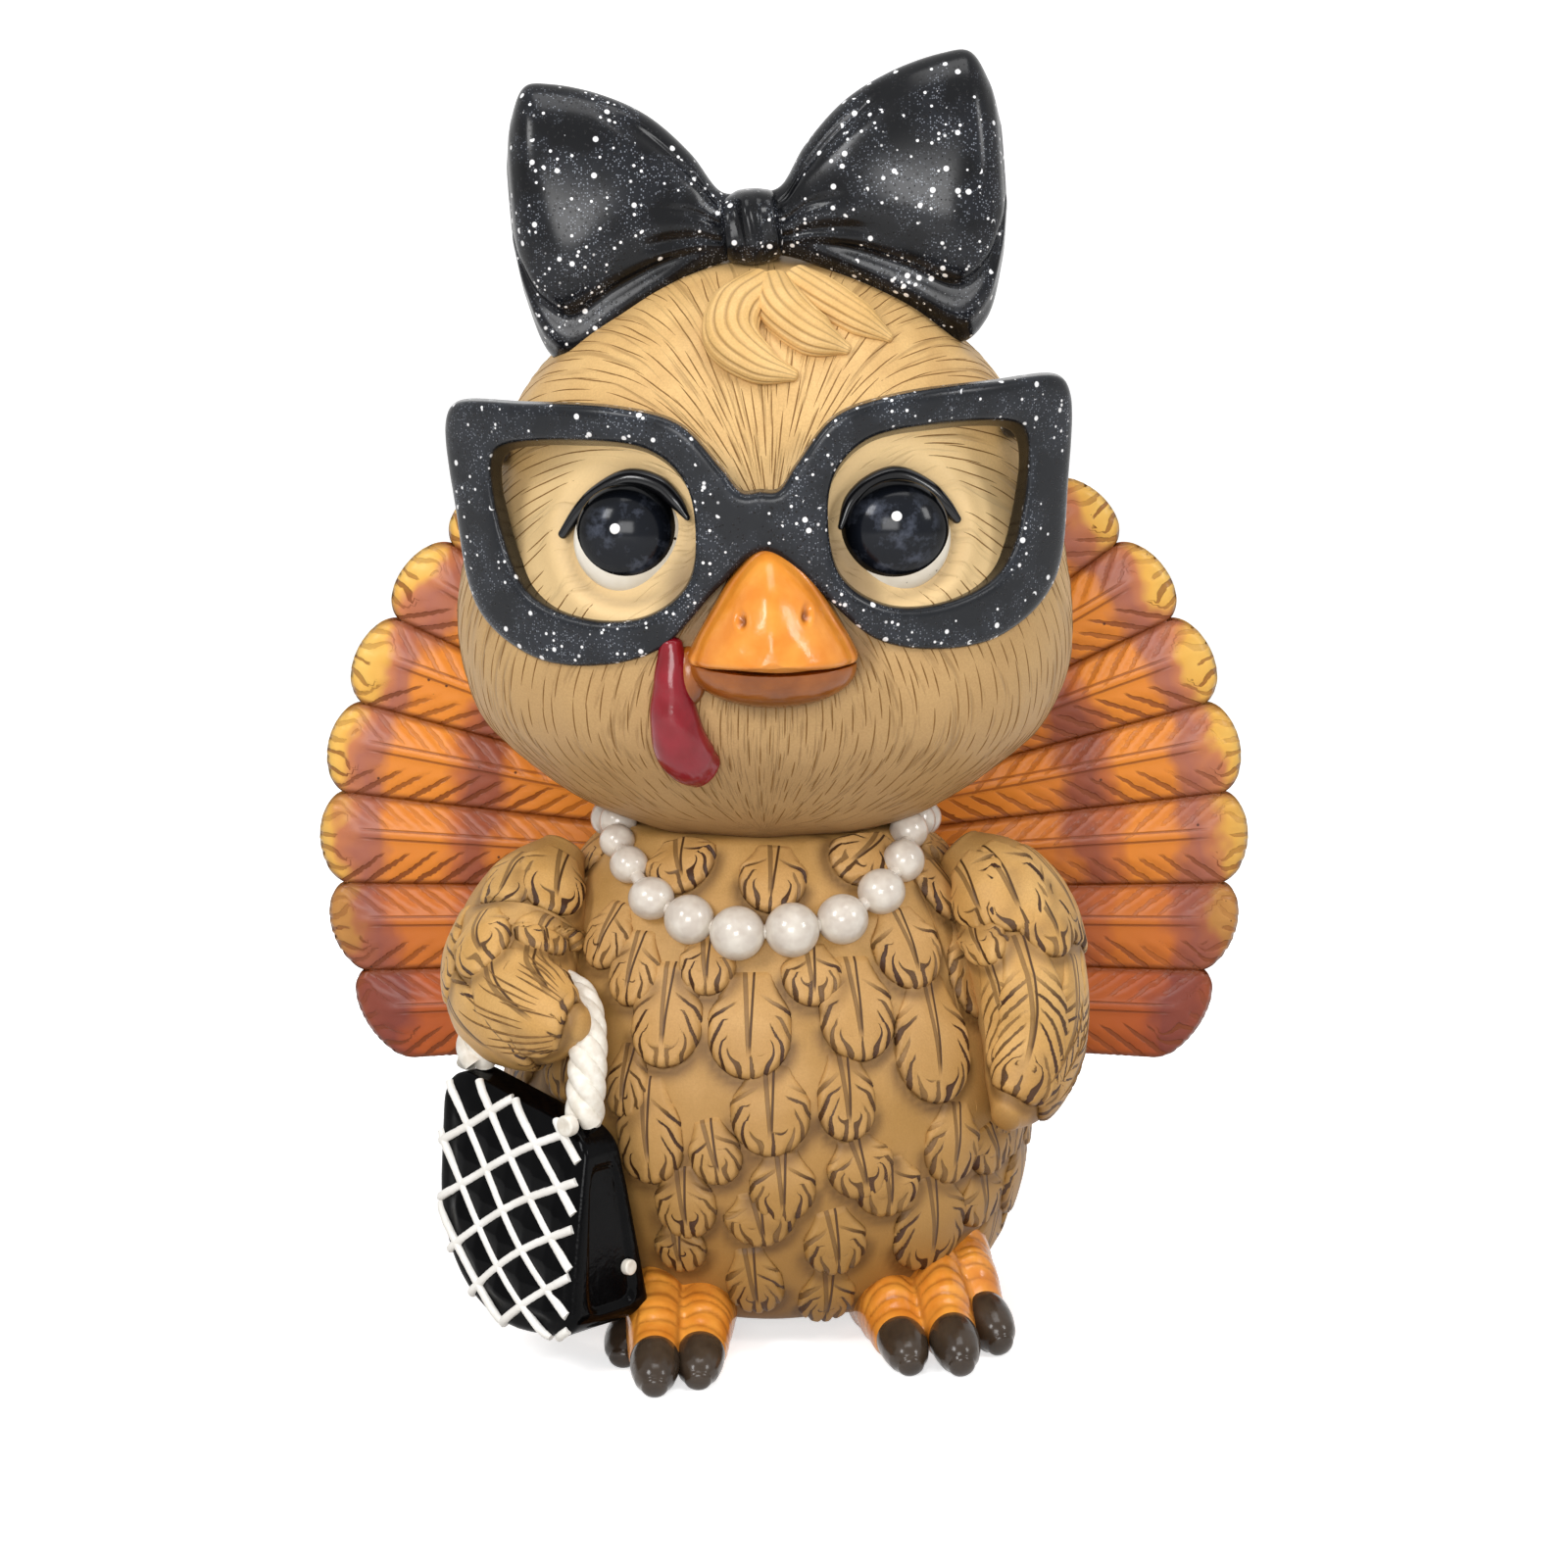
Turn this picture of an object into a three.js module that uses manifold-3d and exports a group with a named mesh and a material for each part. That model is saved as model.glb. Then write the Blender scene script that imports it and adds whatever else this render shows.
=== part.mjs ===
import * as THREE from "three";
import { mergeVertices } from "three/addons/utils/BufferGeometryUtils.js";
import Module from "manifold-3d";

// A cast-resin turkey figurine in a bow, cat-eye glasses and pearls, with a purse on one wing.
// Millimetres, +Z up, the front faces -Y. Left and right are the viewer's, seen from the front.
// The origin lies on the ground, midway between the tips of the tail fan.

// Fits
const SEAT_GAP = 0.3;
const CUT_OVERRUN = 3;
const SMALLEST_EDGE = 0.05;

// The torso stands a little to the left of the tail fan's centre line, as it was sculpted.
const FIGURE_X = -3.6;

// Torso, an egg with a flat base and a flat neck
const TORSO_WIDTH = 103;
const TORSO_DEPTH = 92;
const TORSO_HEIGHT = 92;
const TORSO_BASE_Z = 5;
const TORSO_SQUARENESS = 2.1;
const TORSO_PROFILE_SHARES = [
  [0.664, 0],
  [0.758, 0.015],
  [0.918, 0.145],
  [0.994, 0.32],
  [0.984, 0.49],
  [0.898, 0.665],
  [0.781, 0.835],
  [0.684, 0.92],
  [0.547, 1],
];

// Head, wide at the cheeks and flattened at the face
const HEAD_WIDTH = 118.8;
const HEAD_DEPTH = 102;
const HEAD_HEIGHT = 110.7;
const HEAD_Y = -1;
const HEAD_SQUARENESS = 2.35;
const HEAD_PROFILE_SHARES = [
  [0.404, 0],
  [0.505, 0.02],
  [0.732, 0.095],
  [0.946, 0.215],
  [1, 0.345],
  [0.956, 0.52],
  [0.835, 0.7],
  [0.687, 0.82],
  [0.379, 0.945],
  [0, 1],
];

// Eyes
const EYE_SPACING_SHARE = 0.4133; // of the head's width
const EYE_SPACING = HEAD_WIDTH * EYE_SPACING_SHARE;
const EYE_RISE = 60.7;
const EYE_OFFSET_X = -0.6;
const EYE_ROLL = 1.6;
const EYEBALL_WIDTH = 19.8;
const EYEBALL_HEIGHT = 18.8;
const EYEBALL_DEPTH = 13;
const EYE_WHITE_DIAMETER = 21.6;
const EYE_WHITE_DEPTH = 8.6;
const EYE_WHITE_DROP = 1.6;
const LASH_RADIUS = 11;
const LASH_THICKNESS = 3.4;
const LASH_START = -4;
const LASH_END = 158;

// Beak and snood
const BEAK_WIDTH = 31;
const BEAK_HEIGHT = 21.8;
const BEAK_REACH = 15;
const BEAK_MOUTH_RISE = 36.7;
const BEAK_OFFSET_X = 1.6;
const BEAK_ROOT_DEPTH = 8;
const LOWER_BEAK_DROP = 6.6;
const LOWER_BEAK_REACH = 8.5;
const SNOOD_LENGTH = 25;
const SNOOD_WIDTH = 8.8;
const SNOOD_OFFSET_SHARE = -0.1347; // of the head's width
const SNOOD_OFFSET_X = HEAD_WIDTH * SNOOD_OFFSET_SHARE;
const SNOOD_TOP_RISE = 41;

// Glasses
const GLASSES_INSET = 3.2; // the head's width less the frame's
const GLASSES_WIDTH = HEAD_WIDTH - GLASSES_INSET;
const GLASSES_HEIGHT = 48.5;
const GLASSES_RISE = 60.7;
const GLASSES_OFFSET_X = -0.3;
const GLASSES_ROLL = 2.7;
const GLASSES_LEAN = 0.1;
const GLASSES_WRAP_SHARE = 0.6229; // of the head's width
const GLASSES_WRAP_RADIUS = HEAD_WIDTH * GLASSES_WRAP_SHARE;
const FRAME_THICKNESS = 8.8;
const GLASSES_FACET = 10;
const TEMPLE_HEIGHT = 6.4;
const TEMPLE_THICKNESS = 3.6;
const TEMPLE_LENGTH = 46;
// Half of the front outline, from the bridge's notch round the outer corner to the bridge's
// underside: across as a share of the half width, up as a share of the height from the bridge.
const RIM_OUTER_SHARES = [
  [0, 0.186],
  [0.054, 0.182],
  [0.112, 0.272],
  [0.242, 0.449],
  [0.433, 0.515],
  [0.727, 0.534],
  [0.965, 0.527],
  [1, 0.464],
  [0.986, 0.124],
  [0.927, -0.268],
  [0.761, -0.433],
  [0.571, -0.466],
  [0.346, -0.404],
  [0.138, -0.165],
  [0, -0.041],
];
const RIM_INNER_SHARES = [
  [0.208, 0.082],
  [0.242, 0.26],
  [0.346, 0.369],
  [0.571, 0.402],
  [0.826, 0.378],
  [0.856, 0.33],
  [0.837, 0.041],
  [0.761, -0.186],
  [0.588, -0.28],
  [0.381, -0.276],
  [0.242, -0.155],
];

// Bow
const LOOP_LENGTHS = { left: 45.2, right: 48.2 };
const BOW_HEIGHT = 57;
const BOW_THICKNESS = 21;
const BOW_ROLL = 4.5;
const BOW_OFFSET_X = -2.4;
const BOW_Y = -10;
const BOW_RISE = 115;
const KNOT_WIDTH = 11.4;
const KNOT_HEIGHT = 14.4;
const KNOT_DEPTH = 17;
// One loop from the knot outwards: across as a share of the loop's length, then the middle's
// height, the half height and the half thickness as shares of the bow's height and thickness.
const LOOP_SHARES = [
  [0.12, 0.01, 0.11, 0.22],
  [0.228, 0.056, 0.196, 0.3],
  [0.394, 0.084, 0.303, 0.4],
  [0.589, 0.074, 0.398, 0.47],
  [0.788, 0.042, 0.475, 0.5],
  [0.892, 0.078, 0.44, 0.46],
  [0.965, 0.114, 0.3, 0.33],
  [1, 0.13, 0.14, 0.12],
];

// Hair tuft: three locks under the knot
const TUFT_REACH = 22;
const TUFT_DROP = 15;
const TUFT_ROOT_RISE = 105;
const LOCK_WIDTH = 9.6;
const LOCK_THICKNESS = 7;
const LOCK_SEAT_SHARE = 0.32;
// Each lock from its root: across as a share of the reach, down as a share of the drop,
// and its width as a share of the lock's.
const LOCK_SHARES = [
  [
    [0, 0, 0.7],
    [-0.24, 0.3, 0.95],
    [-0.27, 0.64, 0.95],
    [-0.03, 0.94, 0.72],
    [0.24, 1.06, 0.28],
  ],
  [
    [0.05, 0, 0.66],
    [0.16, 0.3, 0.86],
    [0.42, 0.6, 0.75],
    [0.66, 0.74, 0.26],
  ],
  [
    [0.24, -0.04, 0.6],
    [0.5, 0.18, 0.72],
    [0.8, 0.44, 0.62],
    [1, 0.62, 0.24],
  ],
];

// Pearl strand: one moulded string of beads
const PEARL_DIAMETER = 9.1;
const PEARL_COUNT = 22;
const PEARL_CORD_DIAMETER = 3;
const PEARL_SUNK_SHARE = 0.28;
// The strand from the front round to the nape: degrees from the front, and the height as a
// share of the torso's.
const STRAND_ANGLES = [0, 14, 28, 41, 52, 61, 74, 105, 145, 180];
const STRAND_RISE_SHARES = [0.838, 0.842, 0.862, 0.9, 0.946, 0.98, 0.99, 0.975, 0.965, 0.963];

// Wings, swept from the shoulder to the tip. Places are shares of the torso's half width, half
// depth and height, and sizes are shares of the wing's width and depth.
const WING_WIDTH = 29;
const WING_DEPTH = 40;
const WING_TILTED_SHARES = [
  [0.762, -0.174, 0.946, 0.159, 0.15],
  [0.85, -0.26, 0.87, 0.345, 0.325],
  [0.918, -0.348, 0.772, 0.431, 0.425],
  [0.937, -0.522, 0.701, 0.431, 0.39],
  [0.869, -0.739, 0.668, 0.362, 0.275],
  [0.762, -0.935, 0.668, 0.241, 0.2],
  [0.674, -1.033, 0.674, 0.103, 0.09],
];
const WING_HANGING_SHARES = [
  [0.732, -0.174, 0.946, 0.172, 0.15],
  [0.859, -0.239, 0.88, 0.345, 0.3],
  [0.947, -0.283, 0.772, 0.397, 0.4],
  [0.986, -0.348, 0.663, 0.379, 0.425],
  [0.986, -0.457, 0.56, 0.328, 0.362],
  [0.947, -0.609, 0.484, 0.241, 0.225],
  [0.889, -0.739, 0.44, 0.103, 0.09],
];

// Purse: a quilted box bag with a twisted handle over the left wing
const PURSE_LENGTH = 37;
const PURSE_HEIGHT = 43;
const PURSE_THICKNESS = 23;
const PURSE_TOP_SHARE = 0.34;
const PURSE_TOP_SLOPE = 0.3;
const PURSE_BACK_SWEEP = 25;
const PURSE_BACK_RISE = 24;
const PURSE_TOP_CORNER = 7;
const PURSE_FRONT_CORNER = 5;
const PURSE_EDGE_ROUND = 2.4;
const PURSE_X = -44.4;
const PURSE_Y = -39.5;
const PURSE_TOP_Z = 51.2;
const PURSE_YAW = -41;
const PURSE_TILT = -4;
const HANDLE_SPAN = 28;
const HANDLE_RISE = 18.5;
const HANDLE_LEAN = 9.5;
const HANDLE_BULGE = 1.6;
const HANDLE_DIAMETER = 7.4;
const STUD_DIAMETER = 5;
const STUD_DEPTH = 2.6;

// Feet: three toes, each with a claw, on a sole that runs back under the torso
const FOOT_LENGTH = 42;
const TOE_DIAMETER = 9.4;
const INSTEP_HEIGHT = 20;
const CLAW_LENGTH = 9.8;
const CLAW_WIDTH_SHARE = 0.88;
const SOLE_THICKNESS = 4.7;
const SOLE_WIDTH = 15;
const SOLE_BACK_Y = 30;
// Height and width of a toe's back at the root, the knuckle and the claw, as shares of the
// instep's height and the toe's diameter.
const TOE_RISE_SHARES = [1, 0.73, 0.45];
const TOE_WIDTH_SHARES = [1.3, 1.14, 0.96];
const KNUCKLE_SHARE = 0.55;
// Each toe's root and tip as shares of the foot's length, across from the figure's middle and
// ahead of it, and its height against the other toes'.
const LEFT_TOE_SHARES = {
  middle: [[-0.5, 0.62], [-0.483, 1.571], 1],
  inner: [[-0.267, 0.62], [-0.295, 1.464], 0.94],
  outer: [[-0.524, 0.524], [-0.645, 1.15], 0.94],
};
const RIGHT_TOE_SHARES = {
  inner: [[0.502, 0.524], [0.655, 1.271], 1],
  middle: [[0.752, 0.476], [0.881, 1.286], 1.1],
  outer: [[0.871, 0.429], [1.071, 0.988], 1.18],
};

// Tail fan
const FAN_RADIUS = 97.2;
const FAN_CENTRE_Z = 83;
const FAN_FRONT_Y = 51.5;
const FEATHER_THICKNESS = 5;
const FEATHER_EDGE_ROUND = 1.2;
const FEATHER_GAP = 0.3;
const FEATHER_STEP = 12;
const LOWEST_NOTCH = -31;
// Where the seams between the feathers of one side meet the root's oval, from the lowest edge to
// the top, in degrees round the oval from level: the low feathers lie flat, the others fan out.
const SEAM_ROOTS = [-66, -29, -5, 12, 25, 36, 46, 56, 67, 78, 90];
const SEAM_REACH_SHARE = 0.94;
const ROOT_WIDTH = 44;
const ROOT_HEIGHT = 84;
const ROOT_CENTRE_Z = 76;
const ROOT_FLANGE_RIM = 7;
const ROOT_FLANGE_THICKNESS = 4.5;
const ROOT_BACK_Y = 66.4;

const DEGREE = Math.PI / 180;
const UP = new THREE.Vector3(0, 0, 1);
const FORWARD = new THREE.Vector3(0, -1, 0);
const HEAD_BASE_Z = TORSO_BASE_Z + TORSO_HEIGHT + SEAT_GAP;

// Numbers of faces
const ROUND = { torso: 40, head: 44, tube: 8, eye: 16 };

const wasm = await Module();
wasm.setup();

// A closed geometry as a manifold solid, turned round if its faces point inwards.
function solidOf(geometry) {
  const bare = geometry.index ? geometry.toNonIndexed() : geometry.clone();
  bare.deleteAttribute("normal");
  bare.deleteAttribute("uv");
  const merged = mergeVertices(bare, 1e-4);
  const kept = [];
  const corner = merged.index.array;
  for (let i = 0; i < corner.length; i += 3) {
    const [a, b, c] = [corner[i], corner[i + 1], corner[i + 2]];
    if (a !== b && b !== c && c !== a) kept.push(a, b, c);
  }
  const vertProperties = merged.attributes.position.array;
  const build = (triVerts) =>
    new wasm.Manifold(new wasm.Mesh({ numProp: 3, vertProperties, triVerts }));
  const solid = build(new Uint32Array(kept));
  if (solid.volume() >= 0) return solid;
  return build(new Uint32Array(kept.reverse()));
}

// The largest piece of a solid, without the crumbs that a cut may leave.
function largest(solid) {
  return solid.decompose().reduce((most, piece) => (piece.volume() > most.volume() ? piece : most));
}

// A manifold solid as a three.js geometry, moved so that its middle is at the origin.
function centredGeometry(solid) {
  const mesh = largest(solid.simplify(SMALLEST_EDGE)).getMesh();
  const { min, max } = solid.boundingBox();
  const middle = min.map((low, axis) => (low + max[axis]) / 2);
  const places = new Float32Array(mesh.numVert * 3);
  for (let i = 0; i < mesh.numVert; i++)
    for (let axis = 0; axis < 3; axis++)
      places[i * 3 + axis] = mesh.vertProperties[i * mesh.numProp + axis] - middle[axis];
  const geometry = new THREE.BufferGeometry();
  geometry.setAttribute("position", new THREE.BufferAttribute(places, 3));
  geometry.setIndex(new THREE.BufferAttribute(mesh.triVerts, 1));
  geometry.computeVertexNormals();
  return { geometry, middle };
}

function union(solids) {
  return solids.reduce((whole, next) => whole.add(next));
}

// What is left of a solid once the cutters are taken off.
function without(solid, cutters) {
  return largest(cutters.reduce((rest, cutter) => rest.subtract(cutter), solid));
}

// A skin over rings of points, with a point in the middle of each end.
function loftGeometry(rings) {
  const sides = rings[0].length;
  const places = rings.flat().flatMap((p) => [p.x, p.y, p.z]);
  const faces = [];
  for (let r = 0; r + 1 < rings.length; r++)
    for (let s = 0; s < sides; s++) {
      const [a, b] = [r * sides + s, r * sides + ((s + 1) % sides)];
      faces.push(a, b, a + sides, b, b + sides, a + sides);
    }
  [0, rings.length - 1].forEach((r, end) => {
    const middle = new THREE.Vector3();
    rings[r].forEach((p) => middle.addScaledVector(p, 1 / sides));
    const tip = places.length / 3;
    places.push(middle.x, middle.y, middle.z);
    for (let s = 0; s < sides; s++) {
      const [a, b] = [r * sides + s, r * sides + ((s + 1) % sides)];
      if (end) faces.push(a, b, tip);
      else faces.push(b, a, tip);
    }
  });
  const geometry = new THREE.BufferGeometry();
  geometry.setAttribute("position", new THREE.Float32BufferAttribute(places, 3));
  geometry.setIndex(faces);
  return geometry;
}

// A rounded section swept along a curve. Each station holds a point and the section's half
// width and half depth; the depth lies towards `outwards`, the width across it.
function sweep(stations, outwards, steps, sides = ROUND.tube) {
  const path = new THREE.CatmullRomCurve3(stations.map(([point]) => point), false, "centripetal");
  const sizes = new THREE.CatmullRomCurve3(
    stations.map(([, width, depth]) => new THREE.Vector3(width, depth, 0)),
    false,
    "centripetal",
  );
  const rings = [];
  for (let i = 0; i <= steps; i++) {
    const t = i / steps;
    const [middle, along, size] = [path.getPoint(t), path.getTangent(t), sizes.getPoint(t)];
    const across = new THREE.Vector3().crossVectors(along, outwards).normalize();
    const out = new THREE.Vector3().crossVectors(across, along);
    rings.push(
      Array.from({ length: sides }, (_, s) => {
        const turn = (2 * Math.PI * s) / sides;
        return middle
          .clone()
          .addScaledVector(across, size.x * Math.cos(turn))
          .addScaledVector(out, size.y * Math.sin(turn));
      }),
    );
  }
  return solidOf(loftGeometry(rings));
}

function ellipsoid(centre, halves, around = ROUND.eye, along = 10) {
  const geometry = new THREE.SphereGeometry(1, around, along);
  geometry.scale(...halves).translate(...centre);
  return solidOf(geometry);
}

// The radius of a turned form at a height, as a share of its half width.
function profileCurve(shares) {
  return new THREE.SplineCurve(shares.map(([across, up]) => new THREE.Vector2(across, up)));
}

function profileShareAt(shares, rise) {
  const points = profileCurve(shares).getPoints(200);
  const above = points.findIndex((point) => point.y >= rise);
  if (above < 1) return above < 0 ? 0 : points[0].x;
  const [low, high] = [points[above - 1], points[above]];
  return low.x + ((high.x - low.x) * (rise - low.y)) / (high.y - low.y);
}

// A turned form with a squared and flattened plan, grown outwards by `grow`.
function roundForm(form, grow = 0, segments = form.segments, rows = form.rows) {
  const half = form.width / 2;
  const outline = profileCurve(form.shares)
    .getSpacedPoints(rows)
    .map((share) => new THREE.Vector2(share.x * half, share.y * form.height));
  const grown = outline.map((point, i) => {
    const before = outline[Math.max(i - 1, 0)];
    const after = outline[Math.min(i + 1, outline.length - 1)];
    const along = after.clone().sub(before).normalize();
    const moved = new THREE.Vector2(point.x + along.y * grow, point.y - along.x * grow);
    return moved.setX(Math.max(moved.x, 0));
  });
  grown[0].y = -grow;
  grown[grown.length - 1].y = form.height + grow;
  const profile = [new THREE.Vector2(0, -grow), ...grown];
  if (grown[grown.length - 1].x > grow) profile.push(new THREE.Vector2(0, form.height + grow));
  else grown[grown.length - 1].x = 0;
  const geometry = new THREE.LatheGeometry(profile, segments).rotateX(Math.PI / 2);
  const place = geometry.attributes.position;
  for (let i = 0; i < place.count; i++) {
    const [x, y] = [place.getX(i), place.getY(i)];
    const squared = squareShare(Math.atan2(y, x), form.squareness);
    place.setX(i, form.x + x * squared);
    place.setY(i, form.y + (y * squared * form.depth) / form.width);
    place.setZ(i, form.z + place.getZ(i));
  }
  return solidOf(geometry);
}

// How far a squared circle of radius 1 reaches in a direction.
function squareShare(turn, squareness) {
  const across = Math.abs(Math.cos(turn)) ** squareness;
  const deep = Math.abs(Math.sin(turn)) ** squareness;
  return (across + deep) ** (-1 / squareness);
}

// The front of a form at a place across and a height.
function frontOf(form, x, z) {
  const share = profileShareAt(form.shares, (z - form.z) / form.height);
  const across = Math.min(Math.abs(x - form.x) / ((share * form.width) / 2), 1);
  const deep = (1 - across ** form.squareness) ** (1 / form.squareness);
  return form.y - (share * form.depth * deep) / 2;
}

// A point on a form at an angle from the front and a height, moved outwards.
function pointOn(form, turn, z, outwards) {
  const share = profileShareAt(form.shares, (z - form.z) / form.height);
  const squared = squareShare(turn, form.squareness) * share;
  return new THREE.Vector3(
    form.x + Math.sin(turn) * ((squared * form.width) / 2 + outwards),
    form.y - Math.cos(turn) * ((squared * form.depth) / 2 + outwards),
    z,
  );
}

const TORSO = {
  x: FIGURE_X,
  y: 0,
  z: TORSO_BASE_Z,
  width: TORSO_WIDTH,
  depth: TORSO_DEPTH,
  height: TORSO_HEIGHT,
  squareness: TORSO_SQUARENESS,
  shares: TORSO_PROFILE_SHARES,
  segments: ROUND.torso,
  rows: 18,
};
const HEAD = {
  x: FIGURE_X,
  y: HEAD_Y,
  z: HEAD_BASE_Z,
  width: HEAD_WIDTH,
  depth: HEAD_DEPTH,
  height: HEAD_HEIGHT,
  squareness: HEAD_SQUARENESS,
  shares: HEAD_PROFILE_SHARES,
  segments: ROUND.head,
  rows: 22,
};

const torsoSeat = roundForm(TORSO, SEAT_GAP);
const headSeat = roundForm(HEAD, SEAT_GAP);

// Eyes: side is -1 for the left and 1 for the right.
function eyeCentre(side) {
  const x = FIGURE_X + EYE_OFFSET_X + (side * EYE_SPACING) / 2;
  const z = HEAD.z + EYE_RISE + (side * EYE_SPACING * Math.tan(EYE_ROLL * DEGREE)) / 2;
  return new THREE.Vector3(x, frontOf(HEAD, x, z), z);
}

function eyeball(side, grow = 0) {
  const { x, y, z } = eyeCentre(side);
  const halves = [EYEBALL_WIDTH / 2 + grow, EYEBALL_DEPTH / 2 + grow, EYEBALL_HEIGHT / 2 + grow];
  return ellipsoid([x, y + SEAT_GAP, z], halves);
}

function eyeWhite(side, grow = 0) {
  const { x, y, z } = eyeCentre(side);
  const half = EYE_WHITE_DIAMETER / 2 + grow;
  const halves = [half, EYE_WHITE_DEPTH / 2 + grow, half];
  return ellipsoid([x, y + SEAT_GAP, z - EYE_WHITE_DROP], halves);
}

function lash(side) {
  const eye = eyeCentre(side);
  const stations = [];
  const count = 6;
  for (let i = 0; i <= count; i++) {
    const share = i / count;
    const turn = (LASH_START + (LASH_END - LASH_START) * share) * DEGREE;
    const x = eye.x + side * LASH_RADIUS * Math.cos(turn);
    const z = eye.z + LASH_RADIUS * Math.sin(turn);
    const y = frontOf(HEAD, x, z) - LASH_THICKNESS / 4;
    const half = (LASH_THICKNESS / 2) * (0.45 + 0.55 * Math.sin(Math.PI * share));
    stations.push([new THREE.Vector3(x, y, z), half, half]);
  }
  return without(sweep(stations, FORWARD, 12, 6), [
    headSeat,
    eyeball(side, SEAT_GAP),
    eyeWhite(side, SEAT_GAP),
  ]);
}

// The upper beak: rounded triangles that shrink from the face to the tip.
const beakX = FIGURE_X + BEAK_OFFSET_X;
const mouthZ = HEAD.z + BEAK_MOUTH_RISE;
const faceY = frontOf(HEAD, beakX, mouthZ);

function beakRing(reachShare, sizeShare, outline) {
  const y = faceY + BEAK_ROOT_DEPTH - (BEAK_REACH + BEAK_ROOT_DEPTH) * reachShare;
  return outline.map(([across, up]) => {
    const lift = (up * sizeShare + 0.1 * (1 - sizeShare)) * BEAK_HEIGHT;
    return new THREE.Vector3(beakX + (across * sizeShare * BEAK_WIDTH) / 2, y, mouthZ + lift);
  });
}

function upperBeak(grow = 0) {
  const outline = [
    [-1, 0.01],
    [-0.5, -0.015],
    [0, -0.02],
    [0.5, -0.015],
    [1, 0.01],
    [0.9, 0.2],
    [0.66, 0.52],
    [0.36, 0.84],
    [0, 1],
    [-0.36, 0.84],
    [-0.66, 0.52],
    [-0.9, 0.2],
  ];
  const swell = 1 + (2 * grow) / BEAK_WIDTH;
  const rings = [
    [0, 1],
    [0.35, 1],
    [0.55, 0.93],
    [0.75, 0.76],
    [0.9, 0.5],
    [1 + grow / BEAK_REACH, 0.16],
  ].map(([reach, size]) => beakRing(reach, size * swell, outline));
  return solidOf(loftGeometry(rings)).translate([0, 0, -grow]);
}

function lowerBeak() {
  const halves = [BEAK_WIDTH / 2 - SEAT_GAP, LOWER_BEAK_REACH, LOWER_BEAK_DROP];
  const bowl = ellipsoid([beakX, faceY, mouthZ], halves, 14, 8);
  const top = mouthZ - SEAT_GAP;
  return without(bowl.trimByPlane([0, 0, -1], -top), [upperBeak(SEAT_GAP), headSeat]);
}

function snood() {
  const top = HEAD.z + SNOOD_TOP_RISE;
  const places = [
    [0, 0, 0.42],
    [-0.16, 0.28, 0.66],
    [-0.02, 0.58, 0.86],
    [0.32, 0.86, 1],
    [0.62, 1, 0.62],
  ];
  const stations = places.map(([across, down, size]) => {
    const x = FIGURE_X + SNOOD_OFFSET_X + across * SNOOD_WIDTH;
    const z = top - down * SNOOD_LENGTH;
    const half = (size * SNOOD_WIDTH) / 2;
    return [new THREE.Vector3(x, frontOf(HEAD, x, z) - half / 2, z), half, half];
  });
  return without(sweep(stations, FORWARD, 9), [headSeat, upperBeak(SEAT_GAP)]);
}

// Glasses. A point of the front outline is bent round the face and leans with its top forwards.
const glassesX = FIGURE_X + GLASSES_OFFSET_X;
const glassesZ = HEAD.z + GLASSES_RISE;
const glassesY = frontOf(HEAD, glassesX, glassesZ) - FRAME_THICKNESS + SEAT_GAP;

function onGlasses(across, up, back) {
  const roll = GLASSES_ROLL * DEGREE;
  const x = across * Math.cos(roll) - up * Math.sin(roll);
  const z = across * Math.sin(roll) + up * Math.cos(roll);
  const wrap = GLASSES_WRAP_RADIUS - Math.sqrt(GLASSES_WRAP_RADIUS ** 2 - x ** 2);
  return [glassesX + x, glassesY + wrap * 0.92 - GLASSES_LEAN * z + back, glassesZ + z];
}

function rimPoints(shares, count, grow = 0) {
  const curve = new THREE.SplineCurve(
    shares.map(([across, up]) =>
      new THREE.Vector2((across * GLASSES_WIDTH) / 2, up * GLASSES_HEIGHT)),
  );
  return curve.getPoints(count).map((p) => new THREE.Vector2(p.x + (p.x > 0 ? grow : 0), p.y));
}

function bentPlate(shape, front, back) {
  const settings = { depth: back - front, bevelEnabled: false, steps: 1 };
  const flat = solidOf(new THREE.ExtrudeGeometry(shape, settings));
  return flat.refineToLength(GLASSES_FACET).warp((place) => {
    [place[0], place[1], place[2]] = onGlasses(place[0], place[1], back - place[2]);
  });
}

function mirrored(points) {
  return points.map((p) => new THREE.Vector2(-p.x, p.y)).reverse();
}

function rimOutline() {
  const right = rimPoints(RIM_OUTER_SHARES, 30);
  return new THREE.Shape([...right, ...mirrored(right).slice(1, -1)].reverse());
}

function glassesFrame() {
  const outline = rimOutline();
  const lens = rimPoints([...RIM_INNER_SHARES, RIM_INNER_SHARES[0]], 22).slice(0, -1);
  outline.holes = [new THREE.Path(lens), new THREE.Path(mirrored(lens))];
  const plate = bentPlate(outline, 0, FRAME_THICKNESS);
  return without(plate, [headSeat, upperBeak(SEAT_GAP)]);
}

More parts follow.
